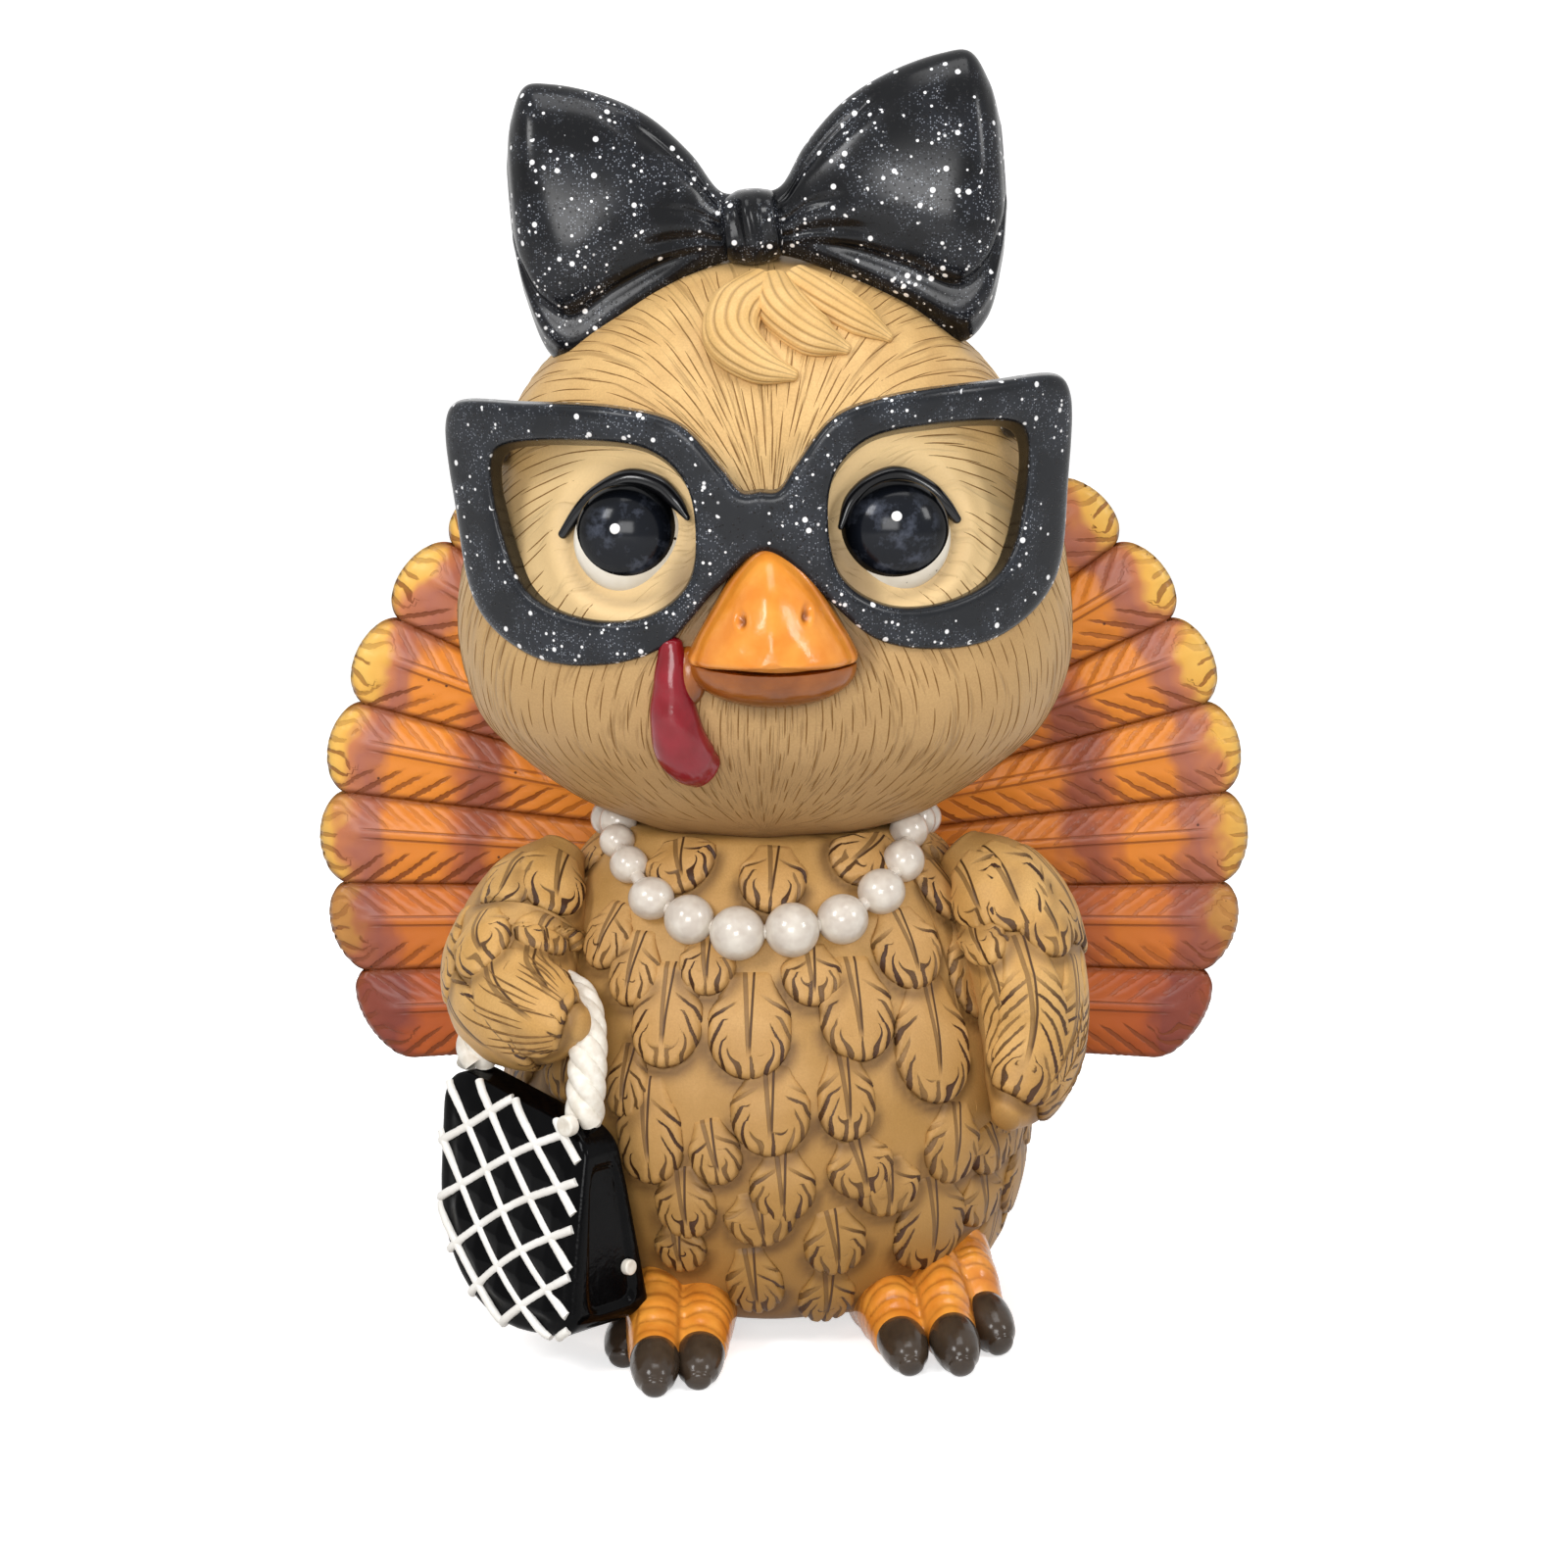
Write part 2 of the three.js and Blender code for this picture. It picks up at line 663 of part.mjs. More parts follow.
function temple(side) {
  const frameBlank = bentPlate(rimOutline(), -CUT_OVERRUN, FRAME_THICKNESS + SEAT_GAP);
  const across = (side * (GLASSES_WIDTH - TEMPLE_THICKNESS * 2.6)) / 2;
  const [x, y, z] = onGlasses(across, GLASSES_HEIGHT * 0.36, FRAME_THICKNESS / 2);
  const sideOfHead = (at, up) => {
    const share = profileShareAt(HEAD.shares, (up - HEAD.z) / HEAD.height);
    const deep = Math.min(Math.abs(at - HEAD.y) / ((share * HEAD.depth) / 2), 0.98);
    return ((share * HEAD.width) / 2) * (1 - deep ** HEAD.squareness) ** (1 / HEAD.squareness);
  };
  const stations = [0, 0.3, 0.6, 0.85, 1].map((along) => {
    const at = y + along * TEMPLE_LENGTH;
    const up = z - along * TEMPLE_HEIGHT * 0.6;
    const hug = HEAD.x + side * (sideOfHead(at, up) + TEMPLE_THICKNESS * 0.1);
    const free = x + side * along * TEMPLE_THICKNESS * 0.3;
    const mix = Math.min(along / 0.6, 1);
    const place = new THREE.Vector3(free + (hug - free) * mix, at, up);
    return [place, TEMPLE_HEIGHT / 2, TEMPLE_THICKNESS / 2];
  });
  const outwards = new THREE.Vector3(side, 0, 0);
  return without(sweep(stations, outwards, 8), [frameBlank, headSeat]);
}

// Bow: a loop is swept from the knot outwards in the bow's own frame, which is rolled.
const bowPlace = new THREE.Matrix4()
  .makeRotationY(-BOW_ROLL * DEGREE)
  .setPosition(FIGURE_X + BOW_OFFSET_X, BOW_Y, HEAD.z + BOW_RISE);

function bowKnot(grow = 0) {
  const geometry = new THREE.SphereGeometry(1, 16, 10);
  geometry.scale(KNOT_WIDTH / 2 + grow, KNOT_DEPTH / 2 + grow, KNOT_HEIGHT / 2 + grow);
  return solidOf(geometry.applyMatrix4(bowPlace));
}

function bowLoop(side) {
  const sides = 14;
  const rings = LOOP_SHARES.map(([out, middle, high, thick]) =>
    Array.from({ length: sides }, (_, s) => {
      const turn = (2 * Math.PI * s) / sides;
      return new THREE.Vector3(
        side * out * (side < 0 ? LOOP_LENGTHS.left : LOOP_LENGTHS.right),
        thick * BOW_THICKNESS * Math.cos(turn),
        (middle + high * Math.sin(turn)) * BOW_HEIGHT,
      ).applyMatrix4(bowPlace);
    }),
  );
  return without(solidOf(loftGeometry(rings)), [headSeat, bowKnot(SEAT_GAP)]);
}

function tuftLock(shares, earlier) {
  const rootZ = HEAD.z + TUFT_ROOT_RISE;
  const stations = shares.map(([across, down, size]) => {
    const x = FIGURE_X + across * TUFT_REACH;
    const z = rootZ - down * TUFT_DROP;
    const half = [(size * LOCK_WIDTH) / 2, (size * LOCK_THICKNESS) / 2];
    return [new THREE.Vector3(x, frontOf(HEAD, x, z) - half[1] * 0.4, z), ...half];
  });
  const outwards = new THREE.Vector3(0, -1, 1).normalize();
  return without(sweep(stations, outwards, 8), [headSeat, bowKnot(SEAT_GAP), ...earlier]);
}

// The same lock, longer at the root and fatter by the seat gap, to cut its neighbours.
function lockSeat(shares) {
  const fatter = shares.map(([across, down, size]) => [
    across,
    down,
    size + (6 * SEAT_GAP) / LOCK_THICKNESS,
  ]);
  const [across, down, size] = fatter[0];
  return tuftLock([[across, down - LOCK_SEAT_SHARE, size], ...fatter], []);
}

// Pearl strand: beads spaced evenly along a closed path that starts at the nape and goes round
// the neck, on one moulded string.
function strandPath() {
  const half = STRAND_ANGLES.map((angle, i) => {
    const z = TORSO.z + STRAND_RISE_SHARES[i] * TORSO.height;
    return [angle * DEGREE, z];
  });
  const back = [...half].reverse();
  const whole = [...back, ...half.slice(1, -1).map(([turn, z]) => [-turn, z])];
  const out = (0.5 - PEARL_SUNK_SHARE) * PEARL_DIAMETER;
  return new THREE.CatmullRomCurve3(
    whole.map(([turn, z]) => pointOn(TORSO, turn, z, out)),
    true,
    "centripetal",
  );
}

function pearlStrand() {
  const path = strandPath();
  const half = PEARL_DIAMETER / 2;
  const beads = Array.from({ length: PEARL_COUNT }, (_, i) => {
    const at = path.getPointAt((i + 0.5) / PEARL_COUNT);
    return ellipsoid([at.x, at.y, at.z], [half, half, half], 8, 5);
  });
  const section = new THREE.Shape();
  section.absarc(0, 0, PEARL_CORD_DIAMETER / 2, 0, 2 * Math.PI);
  const settings = { steps: PEARL_COUNT, curveSegments: 2, extrudePath: path };
  const string = solidOf(new THREE.ExtrudeGeometry(section, settings));
  return without(union([string, ...beads]), [torsoSeat, headSeat, tailRootBlank(SEAT_GAP)]);
}

// Wings
function wingStations(shares, side) {
  return shares.map(([out, ahead, up, wide, deep]) => {
    const place = new THREE.Vector3(
      TORSO.x + (side * out * TORSO.width) / 2,
      (ahead * TORSO.depth) / 2,
      TORSO.z + up * TORSO.height,
    );
    return [place, deep * WING_DEPTH, wide * WING_WIDTH];
  });
}

function leftWing() {
  const outwards = new THREE.Vector3(-1, -0.35, 0).normalize();
  const form = sweep(wingStations(WING_TILTED_SHARES, -1), outwards, 12, 14);
  return without(form, [torsoSeat, strandSeat(), handle(SEAT_GAP)]);
}

function rightWing() {
  const outwards = new THREE.Vector3(1, -0.25, 0).normalize();
  const form = sweep(wingStations(WING_HANGING_SHARES, 1), outwards, 12, 14);
  return without(form, [torsoSeat, strandSeat()]);
}

// A plain tube round the strand, which keeps the wings off the pearls.
function strandSeat() {
  const section = new THREE.Shape();
  section.absarc(0, 0, PEARL_DIAMETER / 2 + SEAT_GAP, 0, 2 * Math.PI);
  const settings = { steps: 2 * PEARL_COUNT, curveSegments: 4, extrudePath: strandPath() };
  return solidOf(new THREE.ExtrudeGeometry(section, settings));
}

// Purse: built upright in its own frame, with its length along X and its top at zero, then
// turned and tilted into place.
const pursePlace = new THREE.Matrix4()
  .makeRotationZ(PURSE_YAW * DEGREE)
  .multiply(new THREE.Matrix4().makeRotationY(PURSE_TILT * DEGREE))
  .setPosition(FIGURE_X + PURSE_X, PURSE_Y, PURSE_TOP_Z);

// Narrow at the top, whose edge drops towards the front, and swept up along the back.
function purseBody() {
  const half = PURSE_LENGTH / 2 - PURSE_EDGE_ROUND;
  const top = -PURSE_EDGE_ROUND;
  const bottom = -PURSE_HEIGHT + PURSE_EDGE_ROUND;
  const corners = [
    [-1, bottom, PURSE_BACK_SWEEP, PURSE_BACK_RISE, 180],
    [1, bottom, PURSE_FRONT_CORNER, PURSE_FRONT_CORNER, 270],
    [1, top, PURSE_FRONT_CORNER, PURSE_FRONT_CORNER, 0],
    [-1, top, PURSE_TOP_CORNER, PURSE_TOP_CORNER, 90],
  ];
  const points = corners.flatMap(([end, level, along, rise, start]) => {
    const x = end * (half - along);
    const z = level === top ? top - rise : bottom + rise;
    const from = start * DEGREE;
    return new THREE.EllipseCurve(x, z, along, rise, from, from + Math.PI / 2).getPoints(5);
  });
  const outline = new THREE.Shape(points);
  const settings = {
    depth: PURSE_THICKNESS - 2 * PURSE_EDGE_ROUND,
    bevelThickness: PURSE_EDGE_ROUND,
    bevelSize: PURSE_EDGE_ROUND,
    bevelSegments: 2,
  };
  const geometry = new THREE.ExtrudeGeometry(outline, settings);
  geometry.translate(0, 0, -settings.depth / 2).rotateX(Math.PI / 2);
  const place = geometry.attributes.position;
  for (let i = 0; i < place.count; i++) {
    const down = -place.getZ(i) / PURSE_HEIGHT;
    const taper = PURSE_TOP_SHARE + (1 - PURSE_TOP_SHARE) * Math.max(down, 0) ** 0.85;
    place.setY(i, place.getY(i) * taper);
    place.setZ(i, place.getZ(i) - PURSE_TOP_SLOPE * place.getX(i) * (1 - down));
  }
  const toes = footBlank(Object.values(LEFT_TOE_SHARES), SEAT_GAP);
  return without(solidOf(geometry.applyMatrix4(pursePlace)), [torsoSeat, toes]);
}

// The handle's arch bulges past its feet, and its top leans over to the torso.
function handlePath() {
  const points = [];
  const count = 10;
  for (let i = 0; i <= count; i++) {
    const turn = (Math.PI * i) / count;
    const bulge = HANDLE_BULGE * Math.sin(2 * turn);
    const across = (HANDLE_SPAN / 2) * Math.cos(turn) + bulge;
    const rise = Math.sin(turn);
    const foot = SEAT_GAP - PURSE_TOP_SLOPE * across * (1 - rise);
    points.push(
      new THREE.Vector3(across, HANDLE_LEAN * rise ** 2, foot + HANDLE_RISE * rise)
        .applyMatrix4(pursePlace));
  }
  return points;
}

function handle(grow = 0) {
  const half = HANDLE_DIAMETER / 2 + grow;
  const stations = handlePath().map((at) => [at, half, half]);
  const acrossPurse = new THREE.Vector3(0, 1, 0).transformDirection(pursePlace);
  return without(sweep(stations, acrossPurse, 18), [torsoSeat]);
}

// A round stud against the side of the handle's front foot, facing out.
function handleStud() {
  const at = new THREE.Vector3(
    HANDLE_SPAN / 2,
    -HANDLE_DIAMETER / 2 - STUD_DEPTH / 2 + SEAT_GAP,
    STUD_DIAMETER / 2 - SEAT_GAP - (PURSE_TOP_SLOPE * HANDLE_SPAN) / 2,
  );
  const geometry = new THREE.SphereGeometry(1, 10, 6);
  geometry.scale(STUD_DIAMETER / 2, STUD_DEPTH, STUD_DIAMETER / 2).translate(at.x, at.y, at.z);
  return without(solidOf(geometry.applyMatrix4(pursePlace)), [handle(SEAT_GAP), purseSeat()]);
}

function purseSeat() {
  const grown = 1 + (2 * SEAT_GAP) / PURSE_THICKNESS;
  const middle = new THREE.Vector3(0, 0, -PURSE_HEIGHT / 2).applyMatrix4(pursePlace);
  return purseBody()
    .translate([-middle.x, -middle.y, -middle.z])
    .scale([grown, grown, grown])
    .translate([middle.x, middle.y, middle.z]);
}

// A flat snap on the purse's end panel, low down.
function purseSnap() {
  const geometry = new THREE.SphereGeometry(1, 10, 6);
  geometry.scale(STUD_DEPTH / 2, STUD_DIAMETER * 0.36, STUD_DIAMETER * 0.5);
  geometry.translate(PURSE_LENGTH / 2, PURSE_THICKNESS * 0.22, -PURSE_HEIGHT * 0.75);
  return without(solidOf(geometry.applyMatrix4(pursePlace)), [purseSeat()]);
}

// Feet. A toe runs from its root under the torso out and down to the claw.
function toePlaces([rootShare, tipShare, lift]) {
  const [root, tip] = [rootShare, tipShare].map(([across, ahead]) =>
    new THREE.Vector3(FIGURE_X + across * FOOT_LENGTH, -ahead * FOOT_LENGTH, 0));
  const along = tip.clone().sub(root).normalize();
  const reach = tip.distanceTo(root) - CLAW_LENGTH;
  const [back, knuckle, joint] = [0, KNUCKLE_SHARE, 1].map((share, i) => {
    const half = (TOE_RISE_SHARES[i] * lift * INSTEP_HEIGHT) / 2;
    return root.clone().addScaledVector(along, share * reach).setZ(half);
  });
  return { back, knuckle, joint, along, seat: joint.clone().sub(knuckle).normalize() };
}

function toe(toeAt, grow = 0) {
  const { back, knuckle, joint } = toePlaces(toeAt);
  const stations = [back, knuckle, joint].map((at, i) => {
    const half = (TOE_WIDTH_SHARES[i] * TOE_DIAMETER) / 2 + grow;
    return [at.clone().setZ(at.z - SEAT_GAP), half, at.z + SEAT_GAP + grow];
  });
  return sweep(stations, UP, 5, 10);
}

function claw(toeAt, grow = 0) {
  const { joint, along, seat } = toePlaces(toeAt);
  const half = (TOE_DIAMETER * CLAW_WIDTH_SHARE) / 2 + grow;
  const places = [
    [-0.1, 1.06, 0.94],
    [0.3, 0.98, 1],
    [0.62, 0.78, 0.9],
    [0.86, 0.52, 0.62],
    [1, 0.3, 0.24],
  ];
  const stations = places.map(([out, rise, size]) => {
    const at = joint.clone().addScaledVector(along, out * CLAW_LENGTH);
    return [at.setZ(joint.z * rise), half * size, joint.z * size + grow];
  });
  const form = sweep(stations, UP, 6, 10);
  const start = seat.dot(joint) + SEAT_GAP - grow;
  return form.trimByPlane(seat.toArray(), start).trimByPlane([0, 0, 1], 0);
}

// The foot before the torso is seen to, grown outwards by `grow`.
function footBlank(toes, grow = 0) {
  const roots = toes.map((toeAt) => toePlaces(toeAt).back);
  const middle = roots.reduce((sum, at) => sum.addScaledVector(at, 1 / toes.length),
    new THREE.Vector3());
  const sole = new THREE.Shape();
  const half = SOLE_WIDTH / 2 + grow;
  sole.absarc(middle.x, SOLE_BACK_Y - half, half, 0, Math.PI, false);
  sole.lineTo(middle.x - half, middle.y);
  sole.lineTo(middle.x + half, middle.y);
  const settings = { depth: SOLE_THICKNESS, bevelEnabled: false, curveSegments: 8 };
  const pad = solidOf(new THREE.ExtrudeGeometry(sole, settings));
  return union([pad, ...toes.map((toeAt) => toe(toeAt, grow))]).trimByPlane([0, 0, 1], 0);
}

function foot(toes) {
  return without(footBlank(toes), [torsoSeat]);
}

// The claws of a foot, each clear of the foot and of the claws before it.
function claws(toes) {
  const seat = footBlank(toes, SEAT_GAP);
  return toes.map((toeAt, i) => {
    const earlier = toes.slice(0, i).map((other) => claw(other, SEAT_GAP));
    return without(claw(toeAt), [seat, ...earlier]);
  });
}

// Tail fan: seams run from notches on a circle into the root's oval, and each feather fills
// the space between two seams, with a round tip.
function seamLine(index) {
  const count = SEAM_ROOTS.length - 1;
  const onLeft = index > count;
  const step = onLeft ? 2 * count - index : index;
  const side = onLeft ? -1 : 1;
  const tip = FEATHER_STEP * DEGREE * 0.5;
  const notchRadius = FAN_RADIUS / (Math.cos(tip) + Math.sin(tip));
  const turn = (step === 0 ? LOWEST_NOTCH : 90 - FEATHER_STEP * (count - step)) * DEGREE;
  const round = SEAM_ROOTS[step] * DEGREE;
  const notch = new THREE.Vector2(
    side * notchRadius * Math.cos(turn),
    FAN_CENTRE_Z + notchRadius * Math.sin(turn),
  );
  const root = new THREE.Vector2(
    (side * SEAM_REACH_SHARE * ROOT_WIDTH * Math.cos(round)) / 2,
    ROOT_CENTRE_Z + (SEAM_REACH_SHARE * ROOT_HEIGHT * Math.sin(round)) / 2,
  );
  return { notch, root };
}

function feather(index) {
  const [first, second] = [seamLine(index), seamLine(index + 1)];
  const across = second.notch.clone().sub(first.notch).normalize();
  const half = FEATHER_GAP / 2;
  const edge = FEATHER_EDGE_ROUND;
  const offset = (point, way) => point.clone().addScaledVector(across, way * (half + edge));
  const [low, high] = [offset(first.notch, 1), offset(second.notch, -1)];
  const middle = low.clone().add(high).multiplyScalar(0.5);
  const radius = low.distanceTo(high) / 2;
  const start = Math.atan2(low.y - middle.y, low.x - middle.x);
  const tip = new THREE.EllipseCurve(middle.x, middle.y, radius, radius, start, start + Math.PI);
  const outline = new THREE.Shape([
    offset(first.root, 1),
    ...tip.getPoints(8),
    offset(second.root, -1),
  ]);
  const settings = {
    depth: FEATHER_THICKNESS - 2 * FEATHER_EDGE_ROUND,
    bevelThickness: FEATHER_EDGE_ROUND,
    bevelSize: FEATHER_EDGE_ROUND,
    bevelSegments: 1,
  };
  const geometry = new THREE.ExtrudeGeometry(outline, settings);
  geometry.rotateX(Math.PI / 2);
  geometry.translate(0, FAN_FRONT_Y + FEATHER_THICKNESS - FEATHER_EDGE_ROUND, 0);
  return without(solidOf(geometry), [ovalPlate(SEAT_GAP, 0, FAN_FRONT_Y + 2 * CUT_OVERRUN)]);
}

function ovalPlate(grow, from, to) {
  const outline = new THREE.Shape();
  outline.absellipse(0, 0, ROOT_WIDTH / 2 + grow, ROOT_HEIGHT / 2 + grow, 0, 2 * Math.PI);
  const settings = { depth: to - from, bevelEnabled: false, curveSegments: 14 };
  const geometry = new THREE.ExtrudeGeometry(outline, settings);
  geometry.rotateX(Math.PI / 2).translate(0, to, ROOT_CENTRE_Z);
  return solidOf(geometry);
}

function tailRootBlank(grow = 0) {
  return ovalPlate(grow, 0, FAN_FRONT_Y + FEATHER_THICKNESS + SEAT_GAP + ROOT_FLANGE_THICKNESS);
}

// The root: an oval neck on the torso's back, with a domed flange behind the feathers.
function tailRoot() {
  const seatY = FAN_FRONT_Y + FEATHER_THICKNESS + SEAT_GAP;
  const neck = tailRootBlank();
  const flange = ovalPlate(ROOT_FLANGE_RIM, seatY, seatY + ROOT_FLANGE_THICKNESS);
  const dome = ellipsoid(
    [0, seatY + ROOT_FLANGE_THICKNESS / 2, ROOT_CENTRE_Z],
    [
      ROOT_WIDTH / 2 + ROOT_FLANGE_RIM / 2,
      ROOT_BACK_Y - seatY - ROOT_FLANGE_THICKNESS / 2,
      ROOT_HEIGHT / 2 + ROOT_FLANGE_RIM / 2,
    ],
    18,
    10,
  ).trimByPlane([0, 1, 0], seatY + ROOT_FLANGE_THICKNESS / 2);
  return without(union([neck, flange, dome]), [torsoSeat, headSeat]);
}

// Finishes: colour and roughness
const FINISHES = {
  tan_resin: { color: 0xc59a5f, roughness: 0.55 },
  black_glitter: { color: 0x17181c, roughness: 0.32 },
  eye_black: { color: 0x14161c, roughness: 0.12 },
  eye_white: { color: 0xefe9dd, roughness: 0.4 },
  beak_orange: { color: 0xe2861f, roughness: 0.3 },
  snood_red: { color: 0x8c1526, roughness: 0.38 },
  pearl: { color: 0xece6dc, roughness: 0.2 },
  purse_black: { color: 0x0c0c0f, roughness: 0.18 },
  rope_white: { color: 0xe4ddcf, roughness: 0.5 },
  foot_orange: { color: 0xc9741c, roughness: 0.35 },
  claw_brown: { color: 0x33271f, roughness: 0.25 },
  feather_orange: { color: 0xd98233, roughness: 0.45 },
};

const figure = new THREE.Group();

// Adds a solid to a group as a named mesh that turns about its own middle.
function add(group, name, finish, solid) {
  const { geometry, middle } = centredGeometry(solid);
  const mesh = new THREE.Mesh(geometry, new THREE.MeshStandardMaterial(FINISHES[finish]));
  mesh.name = name;
  mesh.position.set(...middle);
  group.add(mesh);
}

function group(build) {
  const made = new THREE.Group();
  build(made);
  figure.add(made);
}

group((body) => {
  add(body, "torso", "tan_resin", roundForm(TORSO));
  add(body, "wing_left", "tan_resin", leftWing());
  add(body, "wing_right", "tan_resin", rightWing());
  add(body, "pearl_strand", "pearl", pearlStrand());
});

group((face) => {
  add(face, "head", "tan_resin", roundForm(HEAD));
  for (const [side, name] of [[-1, "left"], [1, "right"]]) {
    const white = without(eyeWhite(side), [headSeat, eyeball(side, SEAT_GAP)]);
    add(face, "eye_white_" + name, "eye_white", white);
    add(face, "eyeball_" + name, "eye_black", without(eyeball(side), [headSeat]));
    add(face, "eyelash_" + name, "eye_black", lash(side));
  }
  add(face, "beak_upper", "beak_orange", without(upperBeak(), [headSeat]));
  add(face, "beak_lower", "beak_orange", lowerBeak());
  add(face, "snood", "snood_red", snood());
  const names = ["hair_lock_left", "hair_lock_middle", "hair_lock_right"];
  LOCK_SHARES.forEach((shares, i) => {
    const earlier = LOCK_SHARES.slice(0, i).map(lockSeat);
    add(face, names[i], "tan_resin", tuftLock(shares, earlier));
  });
});

group((wear) => {
  add(wear, "glasses_frame", "black_glitter", glassesFrame());
  add(wear, "temple_left", "black_glitter", temple(-1));
  add(wear, "temple_right", "black_glitter", temple(1));
  add(wear, "bow_loop_left", "black_glitter", bowLoop(-1));
  add(wear, "bow_loop_right", "black_glitter", bowLoop(1));
  add(wear, "bow_knot", "black_glitter", without(bowKnot(), [headSeat]));
});

group((bag) => {
  add(bag, "purse_body", "purse_black", purseBody());
  add(bag, "purse_handle", "rope_white", without(handle(), [purseSeat()]));
  add(bag, "handle_stud", "rope_white", handleStud());
  add(bag, "purse_snap", "rope_white", purseSnap());
});

group((feet) => {
  for (const [side, toes] of Object.entries({ left: LEFT_TOE_SHARES, right: RIGHT_TOE_SHARES })) {
    add(feet, "foot_" + side, "foot_orange", foot(Object.values(toes)));
    claws(Object.values(toes)).forEach((solid, i) =>
      add(feet, "claw_" + side + "_" + Object.keys(toes)[i], "claw_brown", solid));
  }
});

group((tail) => {
  add(tail, "tail_root", "tan_resin", tailRoot());
  const feathers = 2 * (SEAM_ROOTS.length - 1);
  for (let i = 0; i < feathers; i++)
    add(tail, "tail_feather_" + String(i + 1).padStart(2, "0"), "feather_orange", feather(i));
});

export default figure;
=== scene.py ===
# %% [markdown]
# # A painted resin turkey, built from formulas
#
# This lesson dresses a plain CAD figurine: a turkey with a bow, cat-eye glasses, pearls and a
# purse. Every surface starts from a short formula in millimetres, gets its relief from numpy
# fields, and its paint from a procedural material. Each cell adds one idea.
#
# Left and right are the viewer's, seen from the front, which faces -Y.

# %%
import math

import bpy
import numpy as np
from mathutils import Matrix, Vector
from mathutils.bvhtree import BVHTree
from mathutils.kdtree import KDTree


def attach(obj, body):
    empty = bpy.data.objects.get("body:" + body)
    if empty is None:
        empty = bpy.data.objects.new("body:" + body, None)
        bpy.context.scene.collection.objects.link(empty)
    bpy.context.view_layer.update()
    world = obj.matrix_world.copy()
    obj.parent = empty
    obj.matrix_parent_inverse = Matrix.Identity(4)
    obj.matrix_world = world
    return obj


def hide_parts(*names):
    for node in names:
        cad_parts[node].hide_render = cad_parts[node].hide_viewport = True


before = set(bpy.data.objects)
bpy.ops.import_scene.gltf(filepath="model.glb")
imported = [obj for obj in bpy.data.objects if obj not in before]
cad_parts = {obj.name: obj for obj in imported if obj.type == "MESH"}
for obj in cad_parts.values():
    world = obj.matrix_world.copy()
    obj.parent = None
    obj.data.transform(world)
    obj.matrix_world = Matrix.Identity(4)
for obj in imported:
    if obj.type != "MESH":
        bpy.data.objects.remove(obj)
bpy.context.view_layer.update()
MM = 0.001
print("plain pieces to dress:", len(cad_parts))

# %% [markdown]
# ## 1. Small mathematics
#
# A few shaping functions do most of the sculpting: a smooth step, a bell, and smooth curves
# through given points. `chain` is a Catmull-Rom curve whose knots follow the distances, so that
# it doesn't overshoot where points lie close together.

# %%
def step(low, high, value):
    share = np.clip((value - low) / (high - low), 0.0, 1.0)
    return share * share * (3.0 - 2.0 * share)


def bell(value, width):
    return np.exp(-((value / width) ** 2))


def unit(vectors):
    return vectors / np.maximum(np.linalg.norm(vectors, axis=-1, keepdims=True), 1e-9)


def chain(points, shares, closed=False):
    """Places on a smooth curve through the points, at shares from 0 to 1 of its spans."""
    points = np.asarray(points, float)
    count = len(points) if closed else len(points) - 1
    if closed:
        points = np.vstack([points[-1:], points, points[:2]])
    else:
        points = np.vstack([2 * points[0] - points[1], points, 2 * points[-1] - points[-2]])
    at = np.clip(np.asarray(shares, float), 0.0, 1.0) * count
    span = np.minimum(at.astype(int), count - 1)
    t = (at - span)[:, None]
    a, b, c, d = (points[span + k] for k in range(4))
    gap = [np.maximum(np.linalg.norm(q - p, axis=1, keepdims=True), 1e-6) ** 0.5
           for p, q in ((a, b), (b, c), (c, d))]
    leave = ((b - a) / gap[0] - (c - a) / (gap[0] + gap[1]) + (c - b) / gap[1]) * gap[1]
    arrive = ((c - b) / gap[1] - (d - b) / (gap[1] + gap[2]) + (d - c) / gap[2]) * gap[1]
    return (b + leave * t + (3 * (c - b) - 2 * leave - arrive) * t**2
            + (2 * (b - c) + leave + arrive) * t**3)


def run_along(points):
    """How far each point of a line is from the line's start."""
    return np.r_[0, np.cumsum(np.linalg.norm(np.diff(points, axis=0), axis=1))]


def spaced(points, count, closed):
    """Places at equal distances along a line of points."""
    run = run_along(points)
    stops = np.linspace(0, run[-1], count, endpoint=not closed)
    return np.stack([np.interp(stops, run, column) for column in points.T], -1)


def evenly(points, count, closed=False):
    """Places at equal distances along a smooth curve."""
    return spaced(chain(points, np.linspace(0, 1, 1200), closed), count, closed)


def lumps(places, size, seed=0, waves=7):
    """A smooth random field in -1 to 1, with features about `size` wide."""
    random = np.random.default_rng(seed)
    total = np.zeros(len(places))
    for _ in range(waves):
        way = unit(random.normal(size=3)) * (2 * math.pi / size) * random.uniform(0.6, 1.5)
        total += np.sin(places @ way + random.uniform(0, 2 * math.pi))
    return total / waves**0.5 / 1.4


def rows_of(rows, columns, closed=False):
    """The quads of a grid of points, row by row; closed joins the last column to the first."""
    i, j = np.meshgrid(np.arange(rows - 1), np.arange(columns - (not closed)), indexing="ij")
    a, b = i * columns + j, i * columns + (j + 1) % columns
    return np.stack([a, b, b + columns, a + columns], -1).reshape(-1, 4)


# %% [markdown]
# ## 2. Two kinds of surface
#
# The torso and the head are *round forms*: a profile turned about an upright axis, with a
# squared and flattened plan. Wings, toes and locks are *sweeps*: an oval carried along a curve.
# Both answer the same questions, so relief can be laid on either: where is the skin at (p, q),
# which way is out, and how far does the skin run for one step of p or q.

